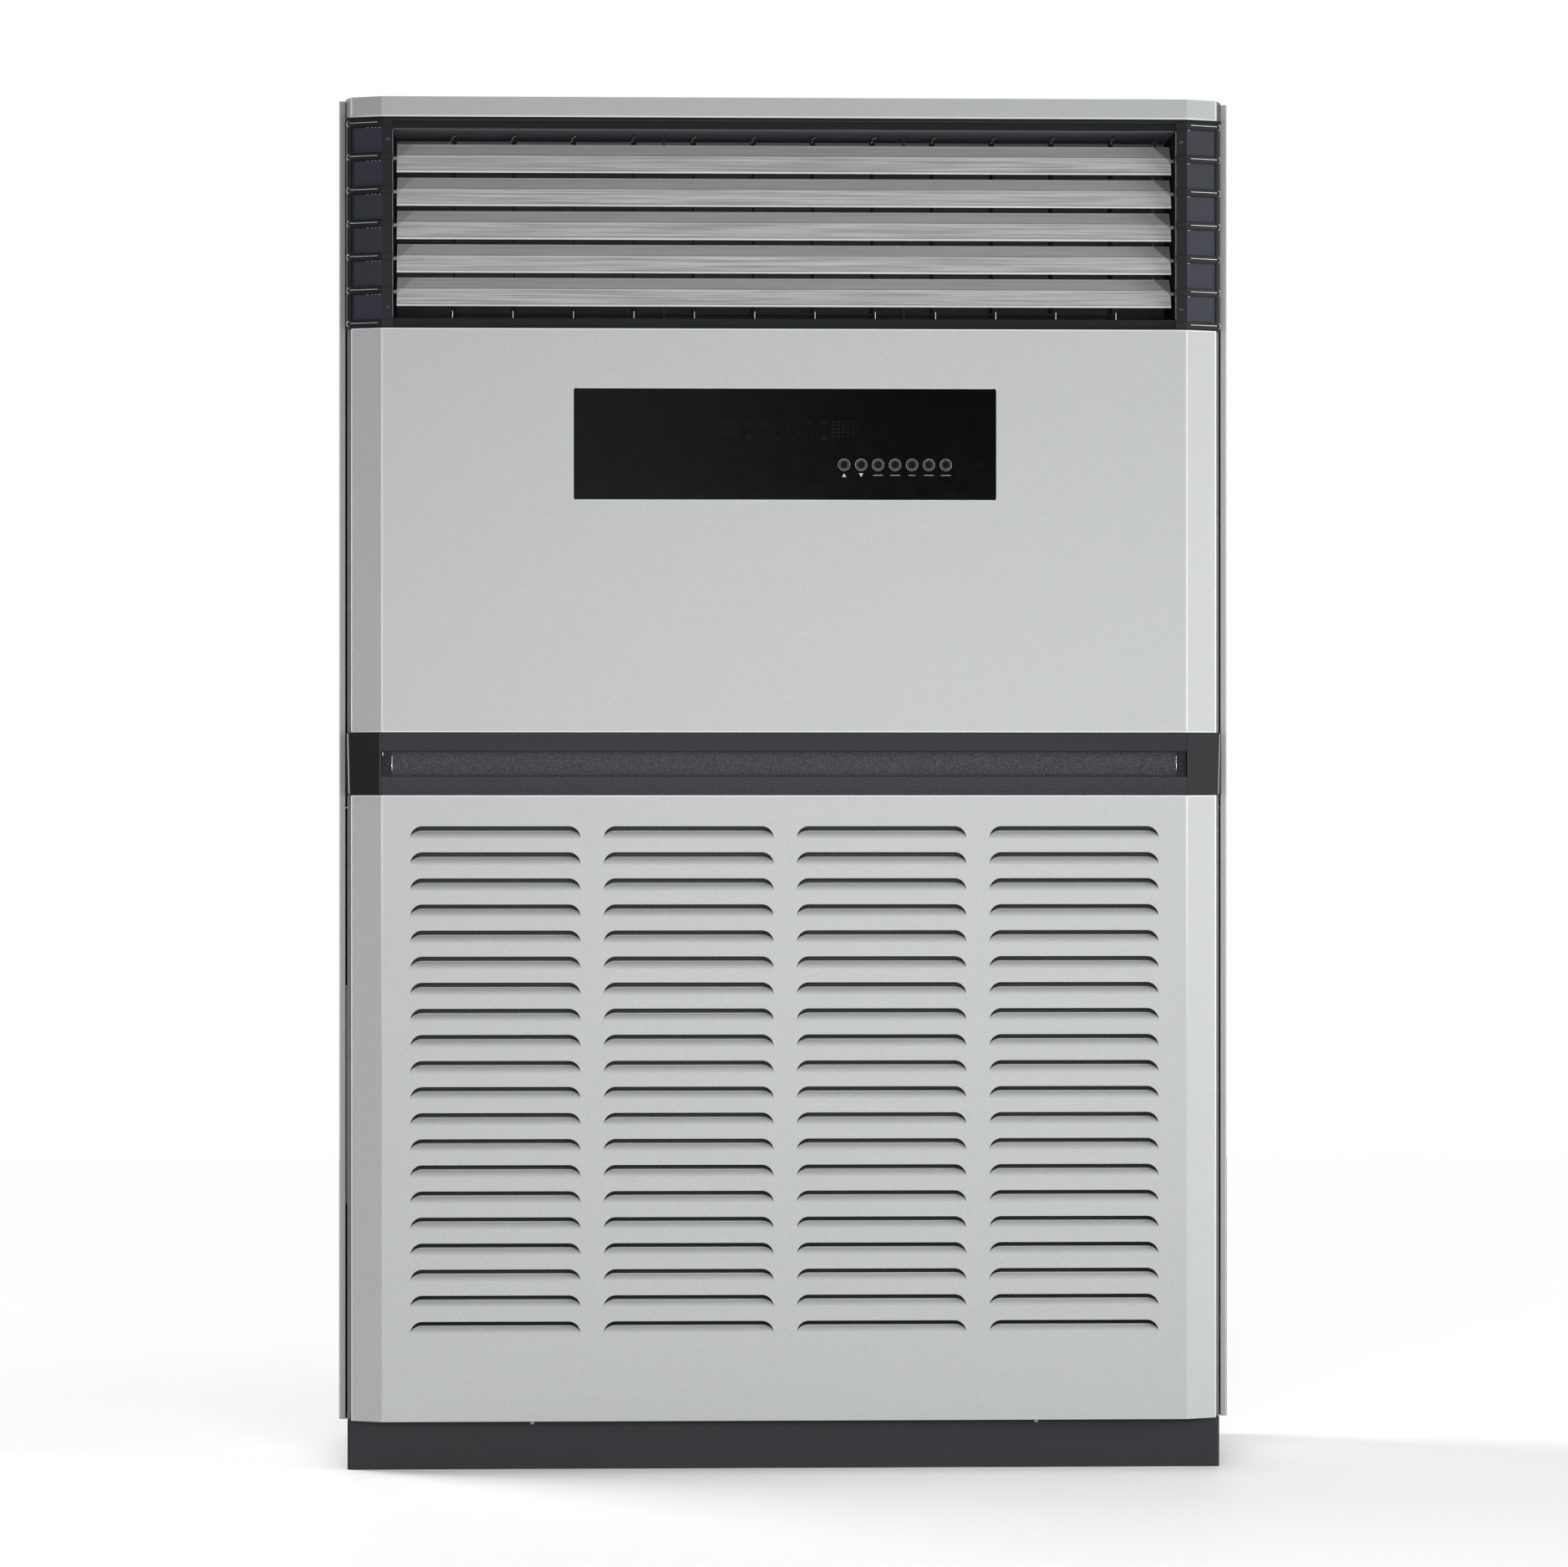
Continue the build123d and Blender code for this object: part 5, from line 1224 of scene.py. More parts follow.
@dataclass
class LouvredSheet(FrontSheet):
    """The intake panel: pressed louvres in columns, each a tongue bent in under a round-ended cut.

    Args:
        columns: number of columns.
        rows: louvres in each column.
        length: length of a louvre.
        pitch_x: distance of the columns.
        pitch_z: distance of the rows.
        foot_top: level of the top row's feet.
        cut: height of the cut over the foot.
        end: length of each round end.
        rise: height of the tongue's lip over the foot.
        depth: depth of the lip behind the front.
        bend: power by which the tongue bends in; 1 is straight.
        steps: chords up the tongue and the cut.
    """

    columns: int = 4
    rows: int = 20
    length: float = 229.0
    pitch_x: float = 260.2
    pitch_z: float = 35.1
    foot_top: float = 851.6
    cut: float = 16.4
    end: float = 16.0
    rise: float = 10.4
    depth: float = 9.0
    bend: float = 1.8
    steps: int = 10
    paint: Look = Look.LOUVRED

    def feet(self) -> List[Flat]:
        """Place the louvres.

        Returns:
            Middle of each louvre's foot, as (x, z).
        """
        return [
            ((column - (self.columns - 1) / 2) * self.pitch_x, self.foot_top - row * self.pitch_z)
            for column in range(self.columns)
            for row in range(self.rows)
        ]

    def turns(self) -> List[float]:
        """Angles up a round end, in radians."""
        return [math.pi / 2 * step / self.steps for step in range(self.steps + 1)]

    def half_length(self, turn: float) -> float:
        """Half the louvre's length at an angle up its round end."""
        return self.length / 2 - self.end * (1 - math.cos(turn))

    def opening(self, x: float, z: float) -> List[Flat]:
        """Lay out one cut.

        Args:
            x: middle of its foot, across.
            z: level of its foot.

        Returns:
            Its outline as (x, z).
        """
        right = [(self.half_length(turn), self.cut * math.sin(turn)) for turn in self.turns()]
        left = [(-along, up) for along, up in reversed(right)]
        return [(x + along, z + up) for along, up in right + left]

    def tongue(self, shape: Shape, x: float, z: float) -> None:
        """Add one bent tongue.

        Args:
            shape: shape to add it to.
            x: middle of its foot, across.
            z: level of its foot.
        """
        outer, inner = [], []
        for turn in self.turns():
            half, up = self.half_length(turn), self.rise * math.sin(turn)
            share = up / self.rise
            y = FRONT_Y + self.depth * share**self.bend
            slope = math.atan(self.bend * self.depth / self.rise * share ** (self.bend - 1))
            outer.append((half, y, z + up))
            inner.append((half, y + SHEET * math.cos(slope), z + max(0.0, up - SHEET * math.sin(slope))))
        loop = outer + inner[::-1]
        ends = [[shape.point((x + side * half, y, level)) for half, y, level in loop] for side in SIDES]
        shape.skin(ends)
        for end in ends:
            for index in range(self.steps):
                shape.mesh.faces.new((end[index], end[index + 1], end[-2 - index], end[-1 - index]))

    def extras(self, shape: Shape) -> None:
        """Cut the openings and add their tongues.

        Args:
            shape: shape to add the tongues to.
        """
        for x, z in self.feet():
            self.holes.append(self.opening(x, z))
            self.tongue(shape, x, z)


def rounded_box(half_x: float, low: float, high: float, radius: float, steps: int = 6) -> List[Flat]:
    """Lay out a rectangle with rounded corners, centred on x = 0.

    Args:
        half_x: half its width.
        low: its lowest level.
        high: its highest level.
        radius: radius of the corners.
        steps: chords of each corner.

    Returns:
        Its outline as (x, z), anticlockwise.
    """
    centres = [(half_x - radius, high - radius, 0), (radius - half_x, high - radius, 90)]
    centres += [(radius - half_x, low + radius, 180), (half_x - radius, low + radius, 270)]
    outline = []
    for x, z, start in centres:
        for step in range(steps + 1):
            turn = math.radians(start + 90 * step / steps)
            outline.append((x + radius * math.cos(turn), z + radius * math.sin(turn)))
    return outline


@dataclass
class OutletTrim:
    """Rounded ribs, smooth inserts, hanging hooks and painted highlights on the edges of the air outlet.

    Args:
        palette: the materials.
        ribs: number of ribs on each corner.
        rib_path: distances from the crease of the points of the bar along each rib.
        rib_bar: lift, radius and number of sides of that bar.
        bead_path: the same distances of the painted highlight bead on each bar.
        bead: rise over the rib's level, lift and radius of that bead.
        nose: x, y and radius of the painted highlight bead round a bar's outer end.
        nose_arc: angles of its points in degrees, downwards to upwards.
        nose_radii: radii across and upwards of its arc.
        marks: start and end of each painted glint on an insert's top, from the crease.
        mark: their rise over the rib's level, lift and radius.
        insert: half the width and half the height of an insert.
        insert_place: distance of its middle from the crease, and its lift.
        insert_plate: its thickness and the width of its chamfer.
        skirt: plan of the strip behind the ribs' noses.
        skirt_levels: its lowest and highest level.
        mouth: x, y, foot and top of the painted highlight bead beside the duct's mouth.
        outside: the same of the painted highlight bead on the corner's outer side.
        lintel: half the length, y and level of the painted highlight bead over the mouth.
        edge_radii: radii of the beads of the mouth and of the outer side.
        blades: number of upright blades.
        blade_pitch: their distance.
        hook_y: depth at which the hooks hang.
        hook: place across and level of the points of a hook.
        hook_bar: the same of its crossbar.
        hook_radii: radii of a hook and its crossbar.
        hook_glints: the same places of the starts of the painted glints on it.
        hook_glint: run, rise and radius of a glint.
        hook_front: distance of the glints in front of the hook's middle.
        tick: y, foot and top of the painted highlight tick on the floor below a blade.
        tick_radius: its radius.
    """

    palette: Palette
    ribs: int = 7
    rib_path: Tuple[float, ...] = (1.5, 15.0, 30.0, 44.5)
    rib_bar: Tuple[float, float, int] = (2.2, 2.8, 12)
    bead_path: Tuple[float, ...] = (4.5, 18.0, 32.0, 44.5)
    bead: Triple = (0.7, 4.9, 0.45)
    nose: Triple = (587.2, -190.4, 0.5)
    nose_arc: Tuple[float, ...] = (-70, -45, -15, 15, 45, 70)
    nose_radii: Pair = (3.8, 3.9)
    marks: Tuple[Pair, ...] = ((1.5, 4.0), (8.0, 9.5), (13.5, 15.0), (20.0, 21.5))
    mark: Triple = (-5.9, 1.2, 0.45)
    insert: Pair = (20.6, 16.8)
    insert_place: Pair = (20.9, 0.45)
    insert_plate: Pair = (0.9, 0.35)
    skirt: Tuple[Flat, ...] = ((585.6, -188.0), (590.9, -184.0), (590.9, -178.0), (585.6, -178.0))
    skirt_levels: Pair = (1541.2, 1818.2)
    mouth: Post = (528.6, -205.0, 1554.0, 1805.5)
    outside: Post = (590.8, -184.4, 1542.0, 1817.5)
    lintel: Point = (527.0, -201.6, 1807.4)
    edge_radii: Pair = (0.5, 0.6)
    blades: int = 12
    blade_pitch: float = 81.5
    hook_y: float = -150.0
    hook: Tuple[Flat, ...] = ((0.0, 1806.8), (-0.8, 1801.0), (-2.6, 1796.0))
    hook_bar: Tuple[Flat, ...] = ((-2.5, 1803.5), (2.5, 1804.5))
    hook_radii: Pair = (0.9, 1.0)
    hook_glints: Tuple[Flat, ...] = ((1.4, 1802.8), (-1.6, 1800.6), (-3.0, 1796.5))
    hook_glint: Triple = (0.8, 0.5, 0.45)
    hook_front: float = 1.4
    tick: Triple = (-196.0, 1553.3, 1562.5)
    tick_radius: float = 0.4

    def facet(self, side: int, along: float, level: float, lift: float) -> Point:
        """Find a point on a corner's facet.

        Args:
            side: -1 for the left corner, 1 for the right one.
            along: distance from the crease.
            level: height.
            lift: distance out of the facet.

        Returns:
            The point.
        """
        angle = math.atan2(BEVEL_DEPTH, HALF_FRONT - HALF_FLAT)
        x = HALF_FLAT + along * math.cos(angle) + lift * math.sin(angle)
        y = OUTLET_FACE_Y + along * math.sin(angle) - lift * math.cos(angle)
        return (side * x, y, level)

    def rib_levels(self) -> List[float]:
        """Level of each rib."""
        return [OUTLET_MID_Z + (row - (self.ribs - 1) / 2) * ROW_PITCH for row in range(self.ribs)]

    def bars(self) -> Piece:
        """Lay a round bar along each rib.

        Returns:
            The new object.
        """
        shape = Shape()
        lift, radius, sides = self.rib_bar
        for side in SIDES:
            for level in self.rib_levels():
                path = [self.facet(side, along, level, lift) for along in self.rib_path]
                shape.bar(path, radius, sides)
        return shape.build("RibBars", self.palette.get(Look.DARK_TRIM), Look.DARK_TRIM, ROUND_SMOOTH)

    def beads(self) -> Piece:
        """Lay painted highlights: a thin bead on each bar and round its outer end, and glints on the
        inserts' tops.

        Returns:
            The new object.
        """
        shape = Shape()
        turns = [math.radians(angle) for angle in self.nose_arc]
        across, up = self.nose_radii
        arc = [(across * math.cos(turn), up * math.sin(turn)) for turn in turns]
        x, y, nose_radius = self.nose
        bead_rise, bead_lift, bead_radius = self.bead
        rise, lift, radius = self.mark
        for side in SIDES:
            for index, level in enumerate(self.rib_levels()):
                path = [self.facet(side, along, level + bead_rise, bead_lift) for along in self.bead_path]
                shape.bar(path, bead_radius)
                shape.bar([(side * (x + out), y + out, level + high) for out, high in arc], nose_radius)
                if index:
                    for mark in self.marks if side < 0 else self.marks[:1]:
                        path = [self.facet(side, along, level + rise, lift) for along in mark]
                        shape.bar(path, radius, FINE_SIDES)
        return shape.build("RibHighlights", self.palette.get(Look.GLINT), Look.DARK_TRIM, ROUND_SMOOTH)

    def inserts(self) -> Piece:
        """Set smooth plates in the windows of the corners.

        Returns:
            The new object.
        """
        shape = Shape()
        along, lift = self.insert_place
        up = Vector((0, 0, 1))
        for side in SIDES:
            for row in range(self.ribs - 1):
                level = OUTLET_MID_Z + (row - (self.ribs - 2) / 2) * ROW_PITCH
                foot, tip = (Vector(self.facet(side, FACET_PROBE, level, height)) for height in (0.0, 1.0))
                out = (tip - foot).normalized()
                turn = Matrix((up.cross(out), up, out)).transposed().to_4x4()
                place = Matrix.Translation(self.facet(side, along, level, lift))
                shape.slab(oblong(*self.insert), place @ turn, *self.insert_plate)
        return shape.build("CornerInserts", self.palette.get(Look.INSERT), Look.DARK_TRIM)

    def skirts(self) -> Piece:
        """Close the corners' outer sides with dark strips behind the ribs' noses.

        Returns:
            The new object.
        """
        shape = Shape()
        for side in SIDES:
            shape.loft([[(side * x, y, level) for x, y in self.skirt] for level in self.skirt_levels])
        return shape.build("CornerSkirts", self.palette.get(Look.DARK_TRIM), Look.DARK_TRIM)

    def edges(self) -> Piece:
        """Lay painted highlight beads round the mouth of the duct.

        Returns:
            The new object.
        """
        shape = Shape()
        for side in SIDES:
            for (x, y, low, high), radius in zip((self.mouth, self.outside), self.edge_radii):
                shape.upright(side * x, y, low, high, radius)
        half, y, level = self.lintel
        shape.bar([(side * half, y, level) for side in SIDES], self.edge_radii[0])
        return shape.build("MouthHighlights", self.palette.get(Look.EDGE), Look.DARK_TRIM, ROUND_SMOOTH)

    def hooks(self) -> List[Piece]:
        """Hang hooks from the duct's ceiling over the blades, with painted glints, and a painted highlight
        tick on its floor below.

        Returns:
            The glints and the hooks.
        """
        shape, glints = Shape(), Shape()
        y, low, high = self.tick
        shine = self.hook_y - self.hook_front
        run, rise, radius = self.hook_glint
        for column in range(self.blades):
            x = (column - (self.blades - 1) / 2) * self.blade_pitch
            for path, thick in zip((self.hook, self.hook_bar), self.hook_radii):
                shape.bar([(x + along, self.hook_y, level) for along, level in path], thick)
            glints.upright(x, y, low, high, self.tick_radius)
            for along, level in self.hook_glints:
                start = x + along
                glints.bar([(start, shine, level), (start + run, shine, level + rise)], radius, FINE_SIDES)
        lit = glints.build("HookGlints", self.palette.get(Look.GLINT), Look.DARK_TRIM, ROUND_SMOOTH)
        hooks = shape.build("BladeHooks", self.palette.get(Look.INNER_PLASTIC), Look.DARK_TRIM, ROUND_SMOOTH)
        return [lit, hooks]

    def build(self) -> List[Piece]:
        """Make every piece."""
        return [self.bars(), self.beads(), self.inserts(), self.skirts(), self.edges(), *self.hooks()]


@dataclass
class StripTrim:
    """Painted highlights on the outer corners of the strip's end caps and on the edges of its screw pockets.

    Args:
        palette: the materials.
        corner_ends: level, x and half the width of the painted highlight on a cap's corner at its foot and
            its top.
        corner_y: depth of that corner.
        corner_plan: its plan, across in shares of half its width and out in mm.
        pocket: x and y of a pocket's inner edge.
        pocket_levels: its lowest and highest level.
        pocket_line: radius of the painted highlight on it.
        bulge: place across, depth and level of the points of the bulge in that painted highlight.
        bulge_radius: radius of the bulge.
        tab: x, y, foot and top of the painted highlight on the tab over the left pocket.
        tab_radius: its radius.
    """

    palette: Palette
    corner_ends: Tuple[Triple, ...] = ((911.5, 587.0, 1.3), (992.5, 589.0, 1.0))
    corner_y: float = -193.2
    corner_plan: Tuple[Flat, ...] = ((-1.0, 0.0), (0.0, -1.6), (1.0, 0.0), (0.0, 0.6))
    pocket: Pair = (529.6, -200.8)
    pocket_levels: Pair = (943.5, 962.5)
    pocket_line: float = 0.28
    bulge: Tuple[Point, ...] = ((0.0, 0.0, 947.0), (0.5, -0.1, 950.0), (0.0, 0.0, 953.0))
    bulge_radius: float = 0.4
    tab: Post = (-542.0, -201.0, 963.0, 967.5)
    tab_radius: float = 0.45

    def cap_corners(self) -> Piece:
        """Lay a tapered painted highlight bead down the outer corner of each cap.

        Returns:
            The new object.
        """
        shape = Shape()
        for side in SIDES:
            sections = []
            for level, x, half in self.corner_ends:
                plan = [(x + across * half, self.corner_y + out) for across, out in self.corner_plan]
                sections.append([(side * place, y, level) for place, y in plan])
            shape.loft(sections)
        return shape.build("CapCornerHighlights", self.palette.get(Look.GLINT), Look.DARK_TRIM, ROUND_SMOOTH)

    def pockets(self) -> Piece:
        """Lay painted highlights on the inner edge of each pocket, with a bulge, and on the tab over the
        left one.

        Returns:
            The new object.
        """
        shape = Shape()
        for side in SIDES:
            x, y = side * self.pocket[0], self.pocket[1]
            shape.upright(x, y, *self.pocket_levels, self.pocket_line)
            path = [(x + side * across, y + out, level) for across, out, level in self.bulge]
            shape.bar(path, self.bulge_radius)
        shape.upright(*self.tab, self.tab_radius)
        return shape.build("PocketEdgeHighlights", self.palette.get(Look.GLINT), Look.SPECKLED_TRIM, ROUND_SMOOTH)

    def build(self) -> List[Piece]:
        """Make every piece."""
        return [self.cap_corners(), self.pockets()]


@dataclass
class Screws:
    """Pan-head screws with cross recesses in place of the plain CAD heads.

    Args:
        palette: the materials.
        radius: radius of a head.
        profile: share of the radius and lift in mm, from the seat to the recess's floor.
        sides: number of a head's sides.
        recess: share of the radius under which the outline is a cross, its narrowest share of that
            outline, and what its arms have more.
        plinth: x, seat and level of the plinth's screws.
        pocket: the same of the strip's screws.
        corner: the same of the outlet's upper screws.
        corner_low: level of its lower screws.
        rear: x and seat of the rear panel's screws.
        rear_levels: levels of their lowest and highest row.
        rear_rows: number of their rows.
    """

    palette: Palette
    radius: float = 2.8
    profile: Tuple[Pair, ...] = ((1.0, 0.0), (1.0, 0.5), (0.86, 1.0), (0.5, 1.32), (0.42, 1.36), (0.12, 0.7))
    sides: int = 24
    recess: Triple = (0.45, 0.62, 0.38)
    plinth: Point = (341.0, -184.0, 62.0)
    pocket: Point = (536.5, -197.5, 952.0)
    corner: Point = (535.5, OUTLET_FACE_Y, 1793.0)
    corner_low: float = 1566.5
    rear: Pair = (596.0, 208.6)
    rear_levels: Pair = (106.3, 1808.0)
    rear_rows: int = 4

    def head(self, shape: Shape, place: Point, facing: Facing) -> None:
        """Add one domed head.

        Args:
            shape: shape to add it to.
            place: middle of its seat.
            facing: way that it faces.
        """
        x, y, z = place
        brim, waist, arm = self.recess
        rings = []
        for share, lift in self.profile:
            reach = self.radius * share
            ring = []
            for turn in circle(self.sides):
                pinch = 1.0 if share > brim else waist + arm * abs(math.cos(2 * turn))
                across, up = reach * pinch * math.cos(turn), reach * pinch * math.sin(turn)
                ring.append((x + across, y + facing.value * lift, z + up))
            rings.append(ring)
        shape.loft(rings)

    def rear_places(self) -> List[Point]:
        """Place the rear panel's screws.

        Returns:
            Their seats, one side after the other.
        """
        low, high = self.rear_levels
        levels = [low + (high - low) * row / (self.rear_rows - 1) for row in range(self.rear_rows)]
        return [(side * self.rear[0], self.rear[1], level) for side in SIDES for level in levels]

    def build(self) -> List[Piece]:
        """Make the plated and the black screws and put them in place of their CAD node.

        Returns:
            Both pieces.
        """
        plinth, pocket = ([(side * x, y, z) for side in SIDES] for x, y, z in (self.plinth, self.pocket))
        x, y, high = self.corner
        corner = [(side * x, y, level) for side in SIDES for level in (self.corner_low, high)]
        shape = Shape()
        for place in plinth:
            self.head(shape, place, Facing.FRONT)
        for place in self.rear_places():
            self.head(shape, place, Facing.REAR)
        plated = shape.build("PlatedScrews", self.palette.get(Look.BRIGHT), Look.SCREW_STEEL, HEAD_SMOOTH)
        shape = Shape()
        for place in corner + pocket:
            self.head(shape, place, Facing.FRONT)
        black = shape.build("BlackScrews", self.palette.get(Look.SCREW_STEEL), Look.SCREW_STEEL, HEAD_SMOOTH)
        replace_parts(plated, "panel_screws")
        return [plated, black]


@dataclass
class DisplayPrint:
    """Printed rings, marks and unlit segments of the display, and painted highlights on the cut edges over
    its window.

    Args:
        palette: the materials.
        lift: thickness of the print.
        edge: width of its soft edge.
        rim: half the length of the painted highlights on the rims and their distance from the window's
            middle.
        rim_bar: distance of their axes behind the window's face, and their radius.
        ring: outer and inner radius of the ring round a button.
        mark_drop: distance of the marks below the buttons' middles.
        arrow: half the width, foot and tip of an arrow.
        dashes: half the length of each dash, from the third button on.
        dash_half: half a dash's height.
        unlit_lift: level of the unlit symbols' tops over the window's middle.
        cell_widths: widths of a grid's cells, from its outer end.
        cell_pitch: distance of a grid's cells across and downwards.
        cell_start: distance of a grid's outer cells from the middle plane.
        cell_rows: number of a grid's rows.
        cell_half: half a cell's height.
        digits: middles of the two digits.
        flat_rows: levels of a digit's flat segments against the top.
        upright_rows: the same of its upright segments.
        upright_half: distance of the upright segments from the digit's middle.
        segments: length of a flat and of an upright segment, and half their thickness.
        dials: middles of the dials.
        dial_ring: outer and inner radius of a dial.
        symbol_drop: distance of the dials' and the drop's middles below the top.
        stars: middle and number of spokes of each star.
        star_drop: distance of the stars' middles below the top.
        spoke: half a spoke's length and half its thickness.
        drop: middle, radius, sink of the round below the middle, and tip of the drop.
        lock: middle, half the width, foot and shoulder of the lock.
        lock_drop: distance of its middle below the top.
        bow: rise over its middle, outer and inner radius of the lock's bow.
    """

    palette: Palette
    lift: float = 0.06
    edge: float = 0.02
    rim: Pair = (281.0, 75.4)
    rim_bar: Pair = (0.1, 0.5)
    ring: Pair = (8.0, 7.6)
    mark_drop: float = 14.2
    arrow: Triple = (2.9, -2.4, 2.6)
    dashes: Tuple[float, ...] = (6.6, 6.6, 4.6, 6.6, 6.6)
    dash_half: float = 0.3
    unlit_lift: float = 30.5
    cell_widths: Tuple[float, ...] = (1.2, 2.2, 2.7, 3.1, 3.8, 4.6)
    cell_pitch: Pair = (6.6, 4.9)
    cell_start: float = 98.0
    cell_rows: int = 5
    cell_half: float = 1.3
    digits: Pair = (-9.5, 10.5)
    flat_rows: Triple = (1.0, -11.0, -23.0)
    upright_rows: Pair = (-5.0, -17.0)
    upright_half: float = 7.2
    segments: Triple = (11.5, 10.5, 0.55)
    dials: Pair = (-28.5, 31.5)
    dial_ring: Pair = (5.9, 5.2)
    symbol_drop: float = 20.0
    stars: Tuple[Tuple[float, int], ...] = ((-49.5, 6), (-28.5, 8), (31.5, 5), (52.0, 5))
    star_drop: float = 2.0
    spoke: Pair = (4.8, 0.3)
    drop: Quad = (-49.5, 3.2, 1.5, 5.0)
    lock: Quad = (52.0, 3.0, -4.0, 1.0)
    lock_drop: float = 21.0
    bow: Triple = (2.0, 2.6, 1.9)

    def plate(self, shape: Shape, outline: Sequence[Flat], x: float, z: float) -> None:
        """Add one printed plate on the window's face.

        Args:
            shape: shape to add it to.
            outline: its corners round its middle.
            x: place of its middle, across.
            z: level of its middle.
        """
        turn = Matrix(((1, 0, 0), (0, 0, -1), (0, 1, 0))).to_4x4()
        place = Matrix.Translation((x, WINDOW_FACE_Y - self.lift, z))
        shape.slab(outline, place @ turn, self.lift, self.edge)

    def rims(self) -> Piece:
        """Draw painted highlights on the cut edges of the sheet over and under the window.

        Returns:
            The new object.
        """
        shape = Shape()
        half, away = self.rim
        behind, radius = self.rim_bar
        for level in (WINDOW_Z - away, WINDOW_Z + away):
            shape.bar([(side * half, WINDOW_FACE_Y + behind, level) for side in SIDES], radius)
        return shape.build("WindowRimHighlights", self.palette.get(Look.GLINT), Look.CABINET_PAINT, ROUND_SMOOTH)

    def rings(self) -> Piece:
        """Print a ring round each button.

        Returns:
            The new object.
        """
        shape = Shape()
        for step in range(BUTTONS):
            shape.ring((BUTTON_X + step * BUTTON_PITCH, WINDOW_FACE_Y, BUTTON_Z), *self.ring, self.lift)
        return shape.build("ButtonRings", self.palette.get(Look.PRINT), Look.SMOKED_WINDOW, ROUND_SMOOTH)

    def marks(self) -> Piece:
        """Print an arrow under each of the first two buttons and a plain dash under each of the others.

        Returns:
            The new object.
        """
        shape = Shape()
        level = BUTTON_Z - self.mark_drop
        half, low, high = self.arrow
        self.plate(shape, [(-half, low), (half, low), (0, high)], BUTTON_X, level)
        self.plate(shape, [(0, low), (half, high), (-half, high)], BUTTON_X + BUTTON_PITCH, level)
        for step, long in enumerate(self.dashes, BUTTONS - len(self.dashes)):
            self.plate(shape, oblong(long, self.dash_half), BUTTON_X + step * BUTTON_PITCH, level)
        return shape.build("ButtonMarks", self.palette.get(Look.PRINT), Look.SMOKED_WINDOW)

    def segment(self, shape: Shape, x: float, z: float, lie: Lie) -> None:
        """Add one pointed segment of a digit.

        Args:
            shape: shape to add it to.
            x: place of its middle, across.
            z: level of its middle.
            lie: way that it lies.
        """
        half, thick = self.segments[lie.value] / 2, self.segments[2]
        end = half - thick
        flat = [(-half, 0), (-end, -thick), (end, -thick), (half, 0), (end, thick), (-end, thick)]
        self.plate(shape, flat if lie is Lie.FLAT else [(-up, across) for across, up in flat], x, z)

    def grids(self, shape: Shape, top: float) -> None:
        """Add the unlit bar grid on each side.

        Args:
            shape: shape to add them to.
            top: level of the top row.
        """
        pitch_x, pitch_z = self.cell_pitch
        for side in SIDES:
            for column, width in enumerate(self.cell_widths):
                x = side * (self.cell_start - pitch_x * column)
                for row in range(self.cell_rows):
                    self.plate(shape, oblong(width / 2, self.cell_half), x, top - pitch_z * row)

    def symbols(self, shape: Shape, top: float) -> None:
        """Add the small unlit symbols beside the digits: dials, stars, a drop and a lock.

        Args:
            shape: shape to add them to.
            top: level of their tops.
        """
        for x in self.dials:
            shape.ring((x, WINDOW_FACE_Y, top - self.symbol_drop), *self.dial_ring, self.lift)
        reach, thick = self.spoke
        for x, spokes in self.stars:
            for spoke in range(spokes):
                turn = math.pi * spoke / spokes
                along = Vector((math.cos(turn), math.sin(turn)))
                thin = Vector((-along.y, along.x)) * thick
                right, left = along * reach, along * -reach
                ends = [right + thin, left + thin, left - thin, right - thin]
                self.plate(shape, [(spot.x, spot.y) for spot in ends], x, top - self.star_drop)
        x, radius, sink, tip = self.drop
        turns = [math.radians(angle) for angle in range(150, 391, 30)]
        drop = [(radius * math.cos(turn), radius * math.sin(turn) - sink) for turn in turns]
        self.plate(shape, drop + [(0, tip)], x, top - self.symbol_drop)
        x, half, low, high = self.lock
        level = top - self.lock_drop
        self.plate(shape, [(-half, low), (half, low), (half, high), (-half, high)], x, level)
        rise, outer, inner = self.bow
        shape.ring((x, WINDOW_FACE_Y, level + rise), outer, inner, self.lift)

    def unlit(self) -> Piece:
        """Draw the unlit bar grids, digits and symbols in the middle of the window.

        Returns:
            The new object.
        """
        shape = Shape()
        top = WINDOW_Z + self.unlit_lift
        self.grids(shape, top)
        for x in self.digits:
            for rise in self.flat_rows:
                self.segment(shape, x, top + rise, Lie.FLAT)
            for rise in self.upright_rows:
                for side in SIDES:
                    self.segment(shape, x + side * self.upright_half, top + rise, Lie.UPRIGHT)
        self.symbols(shape, top)
        return shape.build("UnlitSegments", self.palette.get(Look.GHOST), Look.SMOKED_WINDOW)

    def build(self) -> List[Piece]:
        """Make every printed piece."""
        return [self.rims(), self.rings(), self.marks(), self.unlit()]


@dataclass(frozen=True)
class Lamp:
    """A rectangular area lamp.

    Args:
        name: its name.
        place: where it stands, in metres.
        target: where it points, in metres.
        size: its width and height in metres.
        power: its power in watts.
    """

    name: str
    place: Point
    target: Point
    size: Pair
    power: float


